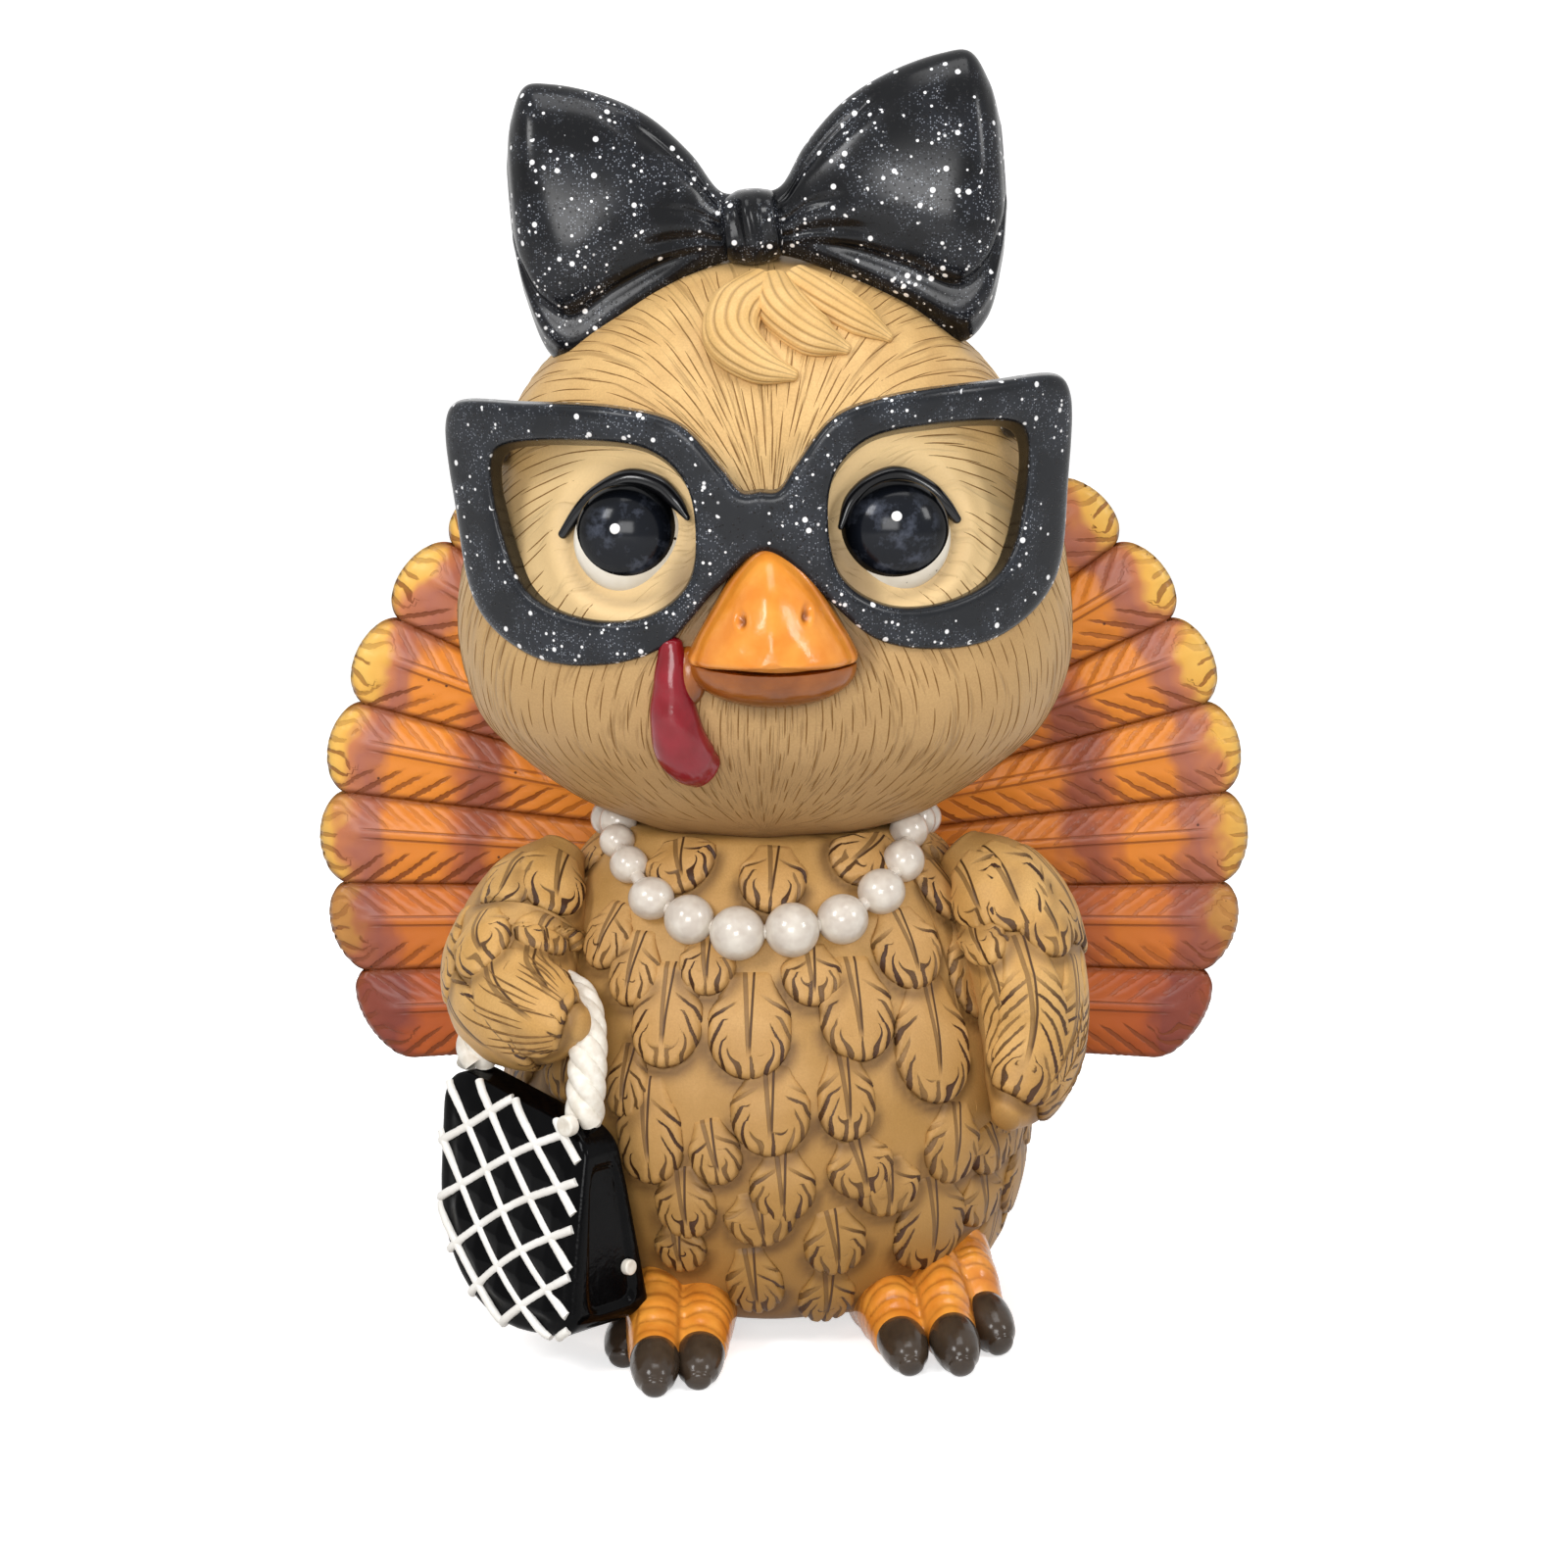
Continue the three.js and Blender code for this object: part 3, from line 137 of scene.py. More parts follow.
# %%
class Surface:
    def place(self, p, q, out=0.0):
        p, q = np.broadcast_arrays(np.asarray(p, float), np.asarray(q, float))
        out = np.broadcast_to(np.asarray(out, float), p.shape)
        e, f = self.reach
        here = self.skin(p, q)
        along_p = self.skin(p + e, q) - self.skin(p - e, q)
        along_q = self.skin(p, q + f) - self.skin(p, q - f)
        return here + unit(np.cross(along_p, along_q)) * self.side * out[..., None]

    def slopes(self, p, q):
        """How the skin moves with p and with q, in millimetres for each whole step."""
        e, f = self.reach
        return ((self.skin(p + e, q) - self.skin(p - e, q)) / (2 * e),
                (self.skin(p, q + f) - self.skin(p, q - f)) / (2 * f))


class Round(Surface):
    """p is the turn from the front in radians, q the distance up the profile in millimetres."""

    side = 1.0
    reach = (0.004, 0.2)

    def __init__(self, x, y, z, width, depth, height, squareness, shares):
        self.x, self.y, self.z = x, y, z
        self.width, self.depth, self.height = width, depth, height
        self.squareness = squareness
        self.profile = chain(shares, np.linspace(0, 1, 700))
        steps = np.diff(self.profile, axis=0) * [width / 2, height]
        self.run = np.r_[0, np.cumsum(np.linalg.norm(steps, axis=1))]

    def skin(self, turn, run):
        share = np.interp(run, self.run, self.profile[:, 0])
        rise = np.interp(run, self.run, self.profile[:, 1])
        n = self.squareness
        plan = (np.abs(np.cos(turn)) ** n + np.abs(np.sin(turn)) ** n) ** (-1 / n) * share
        return np.stack([self.x + np.sin(turn) * plan * self.width / 2,
                         self.y - np.cos(turn) * plan * self.depth / 2,
                         self.z + rise * self.height], -1)

    def run_at(self, z):
        return np.interp((z - self.z) / self.height, self.profile[:, 1], self.run)

    def share_at(self, z):
        return np.interp((z - self.z) / self.height, self.profile[:, 1], self.profile[:, 0])

    def front(self, x, z):
        """The y of the front of the form at a place across and a height."""
        share = self.share_at(z)
        across = np.minimum(np.abs(x - self.x) / (share * self.width / 2), 1.0)
        deep = (1 - across**self.squareness) ** (1 / self.squareness)
        return self.y - share * self.depth * deep / 2


class Sweep(Surface):
    """p is the turn round the oval in radians, q the share of the curve from 0 to 1."""

    side = 1.0
    reach = (0.01, 0.004)

    def __init__(self, stations, outwards, side=1.0):
        self.points = np.array([at for at, *_ in stations], float)
        self.sizes = np.array([size for _, *size in stations], float)
        self.outwards = unit(np.asarray(outwards, float))
        self.side = side

    def ring(self, share):
        share = np.clip(share, 0.0, 1.0)
        middle, size = chain(self.points, share), chain(self.sizes, share)
        ahead = chain(self.points, np.clip(share + 0.01, 0, 1))
        along = unit(ahead - chain(self.points, np.clip(share - 0.01, 0, 1)))
        across = unit(np.cross(along, self.outwards))
        return middle, along, across, np.cross(across, along), size

    def skin(self, turn, share):
        shape = np.broadcast(turn, share).shape
        turn = np.broadcast_to(turn, shape).ravel()
        share = np.broadcast_to(share, shape).ravel()
        middle, _, across, out, size = self.ring(share)
        place = (middle + across * (size[:, :1] * np.cos(turn)[:, None])
                 + out * (size[:, 1:2] * np.sin(turn)[:, None]))
        return place.reshape(*shape, 3)

    def grid(self, rows, columns, start_dome=0.0, end_dome=0.0, dome_rows=7):
        """Rings of points along the sweep, with rounded ends where a dome is asked for."""
        shares = np.linspace(0, 1, rows)
        turns = np.arange(columns) * 2 * math.pi / columns
        q, p = np.meshgrid(shares, turns, indexing="ij")
        rings = [self.skin(p, q)]
        notes = [np.stack([p, q], -1)]
        for end, bulge in ((0, start_dome), (1, end_dome)):
            middle, along, *_ = self.ring(np.array([float(end)]))
            edge = self.skin(turns, np.full(columns, float(end)))
            lift = np.linspace(0, math.pi / 2, dome_rows + 1)[1:]
            way = along[0] * (1 if end else -1)
            dome = [middle[0] + (edge - middle[0]) * max(math.cos(a), 0.02)
                    + way * bulge * math.sin(a) for a in lift]
            note = [np.stack([turns, np.full(columns, float(end))], -1) for _ in lift]
            if end:
                rings.append(np.array(dome))
                notes.append(np.array(note))
            else:
                rings.insert(0, np.array(dome[::-1]))
                notes.insert(0, np.array(note[::-1]))
        return np.concatenate(rings), np.concatenate(notes)


FIGURE_X = -3.6
TORSO = Round(FIGURE_X, 0, 5, 103, 92, 92, 2.1, [
    [0.664, 0], [0.758, 0.015], [0.918, 0.145], [0.994, 0.32], [0.984, 0.49],
    [0.898, 0.665], [0.781, 0.835], [0.684, 0.92], [0.547, 1]])
HEAD = Round(FIGURE_X, -1, 97.3, 118.8, 102, 110.7, 2.35, [
    [0.404, 0], [0.505, 0.02], [0.732, 0.095], [0.946, 0.215], [1, 0.345],
    [0.956, 0.52], [0.835, 0.7], [0.687, 0.82], [0.379, 0.945], [0.004, 1]])


def wing_stations(shares, side):
    """Shares of the torso's half width, half depth and height, and of the arm's own sizes."""
    return [([TORSO.x + side * out * TORSO.width / 2, ahead * TORSO.depth / 2,
              TORSO.z + up * TORSO.height], deep * 40, wide * 29)
            for out, ahead, up, wide, deep in shares]


LEFT_WING = Sweep(wing_stations([
    [0.762, -0.174, 0.946, 0.159, 0.15], [0.85, -0.26, 0.87, 0.345, 0.325],
    [0.918, -0.348, 0.772, 0.431, 0.425], [0.937, -0.522, 0.701, 0.431, 0.39],
    [0.869, -0.739, 0.668, 0.362, 0.275], [0.762, -0.935, 0.668, 0.241, 0.2],
    [0.674, -1.033, 0.674, 0.103, 0.09]], -1), [-1, -0.35, 0], side=-1.0)
RIGHT_WING = Sweep(wing_stations([
    [0.732, -0.174, 0.946, 0.172, 0.15], [0.859, -0.239, 0.88, 0.345, 0.3],
    [0.947, -0.283, 0.772, 0.397, 0.4], [0.986, -0.348, 0.663, 0.379, 0.425],
    [0.986, -0.457, 0.56, 0.328, 0.362], [0.947, -0.609, 0.484, 0.241, 0.225],
    [0.889, -0.739, 0.44, 0.103, 0.09]], 1), [1, -0.25, 0], side=-1.0)
print("profiles, in mm: torso", TORSO.run[-1].round(1), "head", HEAD.run[-1].round(1))

# %% [markdown]
# ## 3. From points to pieces
#
# A `Form` is points, faces and notes: numbers kept at each point, such as the distance to a
# feather's edge, which the paint reads later as attributes. `closed` turns a stack of rings into
# a closed form and checks by its volume that the faces point outwards.

# %%
class Form:
    def __init__(self, points, faces, **notes):
        self.points, self.faces, self.notes = points, faces, notes

    def outwards(self):
        """Turns the faces round if the volume that they enclose comes out negative."""
        tri = np.array([[f[0], f[k], f[k + 1]] for f in self.faces for k in range(1, len(f) - 1)])
        a, b, c = (self.points[tri[:, k]] for k in range(3))
        if np.einsum("ij,ij->i", a, np.cross(b, c)).sum() < 0:
            self.faces = [face[::-1] for face in self.faces]
        return self


def closed(rings, **notes):
    """Rings of points, rows x columns x 3, joined round and closed by a point at each end."""
    rows, columns = rings.shape[:2]
    points = np.vstack([rings.reshape(-1, 3), rings[:1].mean(1), rings[-1:].mean(1)])
    faces = rows_of(rows, columns, True).tolist()
    last, end = rows * columns, (rows - 1) * columns
    for j in range(columns):
        k = (j + 1) % columns
        faces += [[last, k, j], [last + 1, end + j, end + k]]
    kept = {}
    for name, values in notes.items():
        flat = values.reshape(rows * columns, -1)
        kept[name] = np.vstack([flat, values[0].reshape(columns, -1).mean(0, keepdims=True),
                                values[-1].reshape(columns, -1).mean(0, keepdims=True)])
    return Form(points, faces, **kept).outwards()


def joined(forms):
    points, faces, count = [], [], 0
    for form in forms:
        points.append(form.points)
        faces += [[v + count for v in face] for face in form.faces]
        count += len(form.points)
    names = forms[0].notes
    return Form(np.vstack(points), faces,
                **{name: np.vstack([form.notes[name] for form in forms]) for name in names})


def in_scene(name, data):
    """A new object in the scene, for a mesh, a camera or a lamp."""
    thing = bpy.data.objects.new(name, data)
    bpy.context.scene.collection.objects.link(thing)
    return thing


def finish_piece(thing, nodes):
    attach(thing, "root")
    if nodes:
        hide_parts(*nodes)


def piece(name, form, material, slot, *nodes):
    """A named object at the origin, with its place in its mesh and its notes as attributes."""
    mesh = bpy.data.meshes.new(name)
    mesh.from_pydata((form.points * MM).tolist(), [], form.faces)
    mesh.materials.append(material)
    mesh.polygons.foreach_set("use_smooth", [True] * len(mesh.polygons))
    for note, values in form.notes.items():
        kind = "FLOAT_VECTOR" if values.shape[1] == 3 else "FLOAT"
        layer = mesh.attributes.new(note, kind, "POINT")
        layer.data.foreach_set("vector" if kind == "FLOAT_VECTOR" else "value",
                               values.astype(float).ravel())
    thing = in_scene(name, mesh)
    finish_piece(thing, nodes)
    return thing


def ellipsoid(centre, halves, rows=48, columns=64):
    """A ball of given half sizes, with its poles above and below."""
    lift = np.linspace(-math.pi / 2 + 0.02, math.pi / 2 - 0.02, rows)
    turn = np.arange(columns) * 2 * math.pi / columns
    up, round_ = np.meshgrid(lift, turn, indexing="ij")
    ball = np.stack([np.cos(up) * np.sin(round_), -np.cos(up) * np.cos(round_), np.sin(up)], -1)
    return closed(np.asarray(centre, float) + ball * np.asarray(halves, float))


# %% [markdown]
# ## 4. Paint
#
# The real figure is cast resin, painted by hand: a satin tan with a sandy grain, a dark brown
# wash that stays in the cuts, and glossy enamel on the beak, eyes, feet and purse. One function
# adds a node with its settings and links, and every finish is wired from it. Patterns read
# object coordinates, which are metres, or the notes on the points, which are millimetres.

# %%
def linear(code):
    """An sRGB hex colour as the linear colour that a shader wants."""
    parts = [int(code[k:k + 2], 16) / 255 for k in (0, 2, 4)]
    return [*(c / 12.92 if c <= 0.04045 else ((c + 0.055) / 1.055) ** 2.4 for c in parts), 1.0]


def add(tree, kind, inputs=None, **settings):
    """A node and its first output. Each input is given a value, or a link where it is a socket."""
    made = tree.nodes.new(kind)
    for name, value in settings.items():
        setattr(made, name, value)
    for key, value in (inputs or {}).items():
        if isinstance(value, bpy.types.NodeSocket):
            tree.links.new(value, made.inputs[key])
        else:
            made.inputs[key].default_value = value
    return made.outputs[0] if made.outputs else made


def calc(tree, operation, *values):
    """A Math node on one to three values or sockets."""
    return add(tree, "ShaderNodeMath", dict(enumerate(values)), operation=operation)


def remap(tree, *values):
    """A Map Range node: the value, the range it is read in and the range it is given. What is
    left out at the end stays 0 and 1."""
    return add(tree, "ShaderNodeMapRange", dict(enumerate(values)))


def noise(tree, where, scale, **inputs):
    """Soft random patches: `scale` of them to a metre, or to one unit of a note."""
    return add(tree, "ShaderNodeTexNoise", {"Vector": where, "Scale": scale, **inputs})


class Paint:
    """A material with one Principled shader; its uniform values are set on its own sockets."""

    def __init__(self, name, **shader):
        self.material = bpy.data.materials.new(name)
        self.material.use_nodes = True
        self.tree = self.material.node_tree
        self.tree.nodes.clear()
        self.surface = self.tree.nodes.new("ShaderNodeBsdfPrincipled")
        add(self.tree, "ShaderNodeOutputMaterial", {"Surface": self.surface.outputs[0]})
        for socket, value in shader.items():
            self.surface.inputs[socket.replace("_", " ")].default_value = value
        self.where = self.tree.nodes.new("ShaderNodeTexCoord").outputs["Object"]

    def coat(self, colour, height=None, strength=0.0, deep=0.0):
        """Links the colour, and a bump `deep` metres deep where a height is given."""
        self.tree.links.new(colour, self.surface.inputs["Base Color"])
        if height is not None:
            bump = add(self.tree, "ShaderNodeBump", {"Height": height, "Strength": strength,
                                                     "Distance": deep})
            self.tree.links.new(bump, self.surface.inputs["Normal"])
        return self.material


FACTOR, FIRST, SECOND = 0, 6, 7


def blended(tree, factor, first, second, blend="MIX"):
    """The colour output of one Mix node, which is its third."""
    mix = tree.nodes.new("ShaderNodeMix")
    mix.data_type, mix.blend_type = "RGBA", blend
    for key, value in ((FACTOR, factor), (FIRST, first), (SECOND, second)):
        if isinstance(value, bpy.types.NodeSocket):
            tree.links.new(value, mix.inputs[key])
        else:
            mix.inputs[key].default_value = linear(value) if isinstance(value, str) else value
    return mix.outputs[2]


def cut_lines(tree, value, middle, width, blur, taper=0.0):
    """1 where a value is within a width of a middle, falling to 0 over the blur."""
    off = calc(tree, "SUBTRACT", value, middle)
    off = calc(tree, "ABSOLUTE", off)
    off = calc(tree, "ADD", off, taper)
    return remap(tree, off, width, width + blur, 1.0, 0.0)


def attribute(tree, name, part=None):
    """A note of the points: as a vector, as a single value, or one part of the vector."""
    source = tree.nodes.new("ShaderNodeAttribute")
    source.attribute_name = name
    if part is None:
        return source.outputs["Vector"]
    if part == "value":
        return source.outputs["Fac"]
    split = add(tree, "ShaderNodeSeparateXYZ", {0: source.outputs["Vector"]}).node
    return split.outputs[part]

# %% [markdown]
# ### The tan resin
#
# Cast polyresin, brushed with a satin tan. Sandy grain a third of a millimetre wide moves the
# colour and the bump, and large soft patches vary the tan as a brush does. Low down the tan is
# painted darker: a deeper tone together with painted shade, as from light above. A note on each
# point, 1 in a recess, paints a brown wash together with the shade of recesses and overhangs.
# The feather cuts are drawn from the notes: commas half a millimetre wide that start at a
# feather's edge and run in and up towards its root, and two quill lines that nearly meet below its
# middle. On the head, `down` is a note that runs round and along the lie of the down, so
# stretched noise on it gives fine combed streaks, and `pale` marks the skin round the eyes, which
# is painted lighter: painted light that lifts the shade of the glasses.

# %%
COMMA = dict(tip=2.3, side=4.8, lean=2.0, reach=(6.0, 4.2))
BARB = dict(tip=2.5, side=4.0, lean=1.5, reach=(5.5, 7.6))
SWEPT = dict(tip=2.6, side=6.5, lean=2.6, reach=(3.4, 2.6))


def cut_notes(from_tip, inside, cuts, seed):
    """For each place on a feather: which cut of its rim it is in, and how far along that cut.

    Cuts stand square on the rim at the tip. Towards the sides they lean to the root, and are
    further apart. The distance from the tip is along the rim, and has a sign."""
    far = np.linspace(-80, 80, 1601)
    side = lambda run: step(0.0, 9.0, np.abs(run))
    count = np.cumsum(0.1 / (cuts["tip"] + (cuts["side"] - cuts["tip"]) * side(far)))
    lean = np.sign(from_tip) * cuts["lean"] * side(from_tip)
    turns = np.interp(from_tip - lean * inside, far, count - count[800]) + seed
    first, last = cuts["reach"]
    return turns, inside / (first + (last - first) * side(from_tip))


def rim_cuts(tree, where):
    """The cuts along a rim as 0 to 1: widest near the rim, thin at the end, no two the same."""
    turns, deep, seed = (attribute(tree, "edge", k) for k in range(3))
    wander = noise(tree, where, 240.0)
    turns = calc(tree, "MULTIPLY_ADD", wander, 0.3, turns)
    whole = calc(tree, "FLOOR", turns)
    whole = calc(tree, "MULTIPLY_ADD", seed, 57.0, whole)
    chance = add(tree, "ShaderNodeTexWhiteNoise", {"W": whole}, noise_dimensions="1D")
    taper = calc(tree, "SUBTRACT", deep, 0.3)
    taper = calc(tree, "ABSOLUTE", taper)
    taper = calc(tree, "MULTIPLY", taper, 0.16)
    share = calc(tree, "FRACT", turns)
    cut = cut_lines(tree, share, 0.5, 0.16, 0.04, taper)
    longer = calc(tree, "MULTIPLY_ADD", chance, -0.35, 1.0)
    end = calc(tree, "DIVIDE", deep, longer)
    end = remap(tree, end, 0.9, 1.0, 1.0, 0.0)
    faint = remap(tree, chance, 0.3, 1.0, 1.0, 0.5)
    cut = calc(tree, "MULTIPLY", cut, end)
    return calc(tree, "MULTIPLY", cut, faint)


def tan_resin(name, light, dark, low, painted_shade_heights, cuts=None, quill=0.9, streaks=False):
    paint = Paint(name, Roughness=0.5, IOR=1.5, Specular_IOR_Level=0.3)
    tree, where = paint.tree, paint.where
    grain = noise(tree, where, 2600.0, Detail=2.0)
    patch = noise(tree, where, 95.0, Detail=3.0)
    sand = remap(tree, grain, 0.3, 0.7, 0.0, 0.2)
    tone = remap(tree, patch, 0.35, 0.68)
    colour = blended(tree, tone, dark, light)
    # Painted shade, with a deeper tone: the tan turns to the low colour towards the bottom, over the
    # given heights in millimetres.
    split = add(tree, "ShaderNodeSeparateXYZ", {0: where}).node
    below = remap(tree, split.outputs[2], painted_shade_heights[0] * MM, painted_shade_heights[1] * MM, 1.0, 0.0)
    colour = blended(tree, below, colour, low)
    colour = blended(tree, sand, colour, "8a6231")
    height = calc(tree, "MULTIPLY", grain, 0.22)
    if streaks:
        comb = noise(tree, attribute(tree, "down"), 1.0, Detail=2.0, Roughness=0.6)
        thin = remap(tree, comb, 0.56, 0.68)
        faint = calc(tree, "MULTIPLY", thin, 0.42)
        colour = blended(tree, faint, colour, "7d5a30")
        height = calc(tree, "MULTIPLY_ADD", thin, -1.1, height)
        # Painted light round the eyes, where the glasses shade the skin.
        colour = blended(tree, attribute(tree, "pale", "value"), colour, "f6d8a2")
    # Brown wash and painted shade together: darker where the note is high, in recesses, under
    # feathers and low down.
    wash = attribute(tree, "wash", "value")
    uneven = remap(tree, patch, 0.3, 0.7, 0.7)
    broken = calc(tree, "MULTIPLY", wash, uneven)
    colour = blended(tree, broken, colour, "4f3217")
    if cuts:
        comma = rim_cuts(tree, where)
        across, along = (attribute(tree, "leaf", k) for k in range(2))
        off = calc(tree, "ABSOLUTE", across)
        narrow = remap(tree, along, 0.0, 0.8, quill, 0.05)
        one_side = remap(tree, across, -0.2, 0.2, 0.0, -0.22)
        vein = cut_lines(tree, off, narrow, 0.14, 0.14, one_side)
        ends = remap(tree, along, 0.7, 0.8, 0.95, 0.0)
        vein = calc(tree, "MULTIPLY", vein, ends)
        weaker = calc(tree, "MULTIPLY_ADD", one_side, 1.8, 1.0)
        vein = calc(tree, "MULTIPLY", vein, weaker)
        lower = remap(tree, along, 0.24, 0.4)
        comma = calc(tree, "MULTIPLY", comma, lower)
        cut = calc(tree, "MAXIMUM", comma, vein)
        colour = blended(tree, cut, colour, "3a1f0a")
        height = calc(tree, "MULTIPLY_ADD", cut, -2.2, height)
    return paint.coat(colour, height, 0.55, 0.0003)


# After the two tones comes the low colour, a deeper tone with painted shade, and the heights in
# millimetres over which it fades out.
TAN_BREAST = tan_resin("tan_resin_cut_feathers", "cda166", "b88c50", "a0783f", (12, 75), COMMA)
TAN_PLAIN = tan_resin("tan_resin_satin", "c79c60", "b1884c", "997038", (10, 75))
TAN_WING = tan_resin("tan_resin_wing_feathers", "d9ad6c", "c89a58", "b98a4a", (40, 62), COMMA)
TAN_FLIGHT = tan_resin("tan_resin_flight_feathers", "d9ad6c", "c89a58", "b98a4a", (40, 62), BARB)
TAN_HEAD = tan_resin("tan_resin_combed_head", "e0b97c", "cda56b", "bf9b6c", (112, 168),
                     streaks=True)
print("tan finishes:", TAN_BREAST.name, TAN_PLAIN.name, TAN_WING.name, TAN_HEAD.name)

# %% [markdown]
# ## 5. A feather that lies on a surface
#
# Each breast feather is a tongue: a faint narrow root, straight sides and a round lower edge
# that stands about a millimetre and a half off the body; it is notched where a cut starts, and the
# cuts are pressed into its face. The rows of its grid bend as they near the tip, so the grid's own
# border is the feather's outline and the edge stays crisp. The underside closes it, out of sight.

# %%
def from_rim(flat, count):
    """For each place of a flat feather: how far inside its rim, and from the tip along it."""
    rim = evenly(np.concatenate([flat[:, 0], flat[-1], flat[::-1, -1]]), count)
    far = np.linalg.norm(flat[:, :, None] - rim, axis=-1)
    ring = run_along(rim)
    return far.min(-1), ring[far.argmin(-1)] - ring[-1] / 2


def tongue(surface, course, width, rows=46, columns=44, rise=1.5, edge=1.3, root=0.5, seed=0,
           tip=0.9, sink=0.35, flat=0.25, cuts=COMMA):
    dense = chain(np.array(course, float), np.linspace(0, 1, 160))
    places = surface.skin(dense[:, 0], dense[:, 1])
    run = run_along(places)
    total = run[-1]
    v, u = np.meshgrid(np.linspace(0, 1, rows), np.linspace(-1, 1, columns), indexing="ij")
    half = width / 2 * (root + (1 - root) * step(0, 0.62, v))
    bend = 0.02 + v * 1.38
    x = half * np.sin(u * bend) / np.sin(bend)
    y = v * total - width / 2 * tip * v**1.6 * (1 - np.cos(u * bend)) / (1 - np.cos(bend))
    middle = np.stack([np.interp(y, run, dense[:, k]) for k in range(2)], -1)
    ahead = np.stack([np.interp(y + 0.3, run, dense[:, k]) for k in range(2)], -1)
    behind = np.stack([np.interp(y - 0.3, run, dense[:, k]) for k in range(2)], -1)
    p, q = middle[..., 0], middle[..., 1]
    along_p, along_q = surface.slopes(p, q)
    out = unit(np.cross(along_p, along_q)) * surface.side
    way = unit(surface.skin(ahead[..., 0], ahead[..., 1])
               - surface.skin(behind[..., 0], behind[..., 1]))
    across = np.cross(way, out)
    p = p + x * (across * along_p).sum(-1) / (along_p**2).sum(-1)
    q = q + x * (across * along_q).sum(-1) / (along_q**2).sum(-1)
    inside, from_tip = from_rim(np.stack([x, y], -1), 220)
    turns, deep = cut_notes(from_tip, inside, cuts, seed * 0.37 % 1)
    round_edge = np.sqrt(1 - (1 - np.minimum(inside / edge, 1)) ** 2)
    crown = flat + (1 - flat) * step(0, 0.6, v)
    groove = bell(turns % 1 - 0.5, 0.13) * (1 - step(0.5, 1.0, deep)) * step(0.25, 0.4, v)
    notch = groove * (1 - step(0.4, 2.0, inside))
    height = ((rise * crown + sink) * round_edge * step(0, 0.1, v) * (1 - 0.45 * notch) - sink
              + 0.3 * crown * bell(x, width / 3) - 0.2 * groove)
    points = surface.place(p, q, height)
    notes = dict(edge=np.stack([turns, deep, np.full_like(x, seed * 0.37 % 1)], -1),
                 leaf=np.stack([x, y / total, np.full_like(x, total)], -1),
                 wash=np.zeros((rows, columns, 1)))
    border = ([(0, j) for j in range(columns)] + [(i, columns - 1) for i in range(1, rows)]
              + [(rows - 1, j) for j in range(columns - 2, -1, -1)]
              + [(i, 0) for i in range(rows - 2, 0, -1)])
    loop = [i * columns + j for i, j in border]
    deep = surface.place(middle[rows // 2, columns // 2, :1], middle[rows // 2, columns // 2, 1:],
                         -1.6)
    faces = rows_of(rows, columns).tolist()
    faces += [[loop[(k + 1) % len(loop)], loop[k], rows * columns] for k in range(len(loop))]
    form = Form(np.vstack([points.reshape(-1, 3), deep]), faces,
                **{name: np.vstack([values.reshape(rows * columns, -1), values[0, :1]])
                   for name, values in notes.items()})
    end = surface.place(p[-1], q[-1])
    form.beyond = end + unit(end - surface.place(p[-4], q[-4])) * 0.9
    return form.outwards()


def wash_and_shade_under_feathers(forms, others, width=1.5, strength=0.85):
    """Painted shade with a dark wash just below every feather's lower edge, on whatever lies there.
    """
    rims = np.concatenate([form.beyond for form in forms])
    tree = KDTree(len(rims))
    for k, place in enumerate(rims):
        tree.insert(place, k)
    tree.balance()
    for form in [*forms, *others]:
        far = np.array([tree.find(place)[2] for place in form.points])
        form.notes["wash"] = np.maximum(form.notes["wash"],
                                        strength * bell(far, width)[:, None])


def skin_form(surface, turns, runs):
    """The bare surface as a closed form, with a note for the brown wash and painted shade."""
    run, turn = np.meshgrid(runs, turns, indexing="ij")
    uneven = 0.22 * lumps(surface.skin(turn, run).reshape(-1, 3), 14, 3).reshape(run.shape)
    return closed(surface.place(turn, run, uneven), wash=np.zeros((*run.shape, 1)))


# %% [markdown]
# ## 6. The breast and back
#
# The feathers on the breast were placed one by one, as the maker's tool did: each row below
# gives a tip, a root and a width. Round the sides and the back they run in even, alternate rows.
# Turns are degrees from the front, and heights are millimetres up the profile.

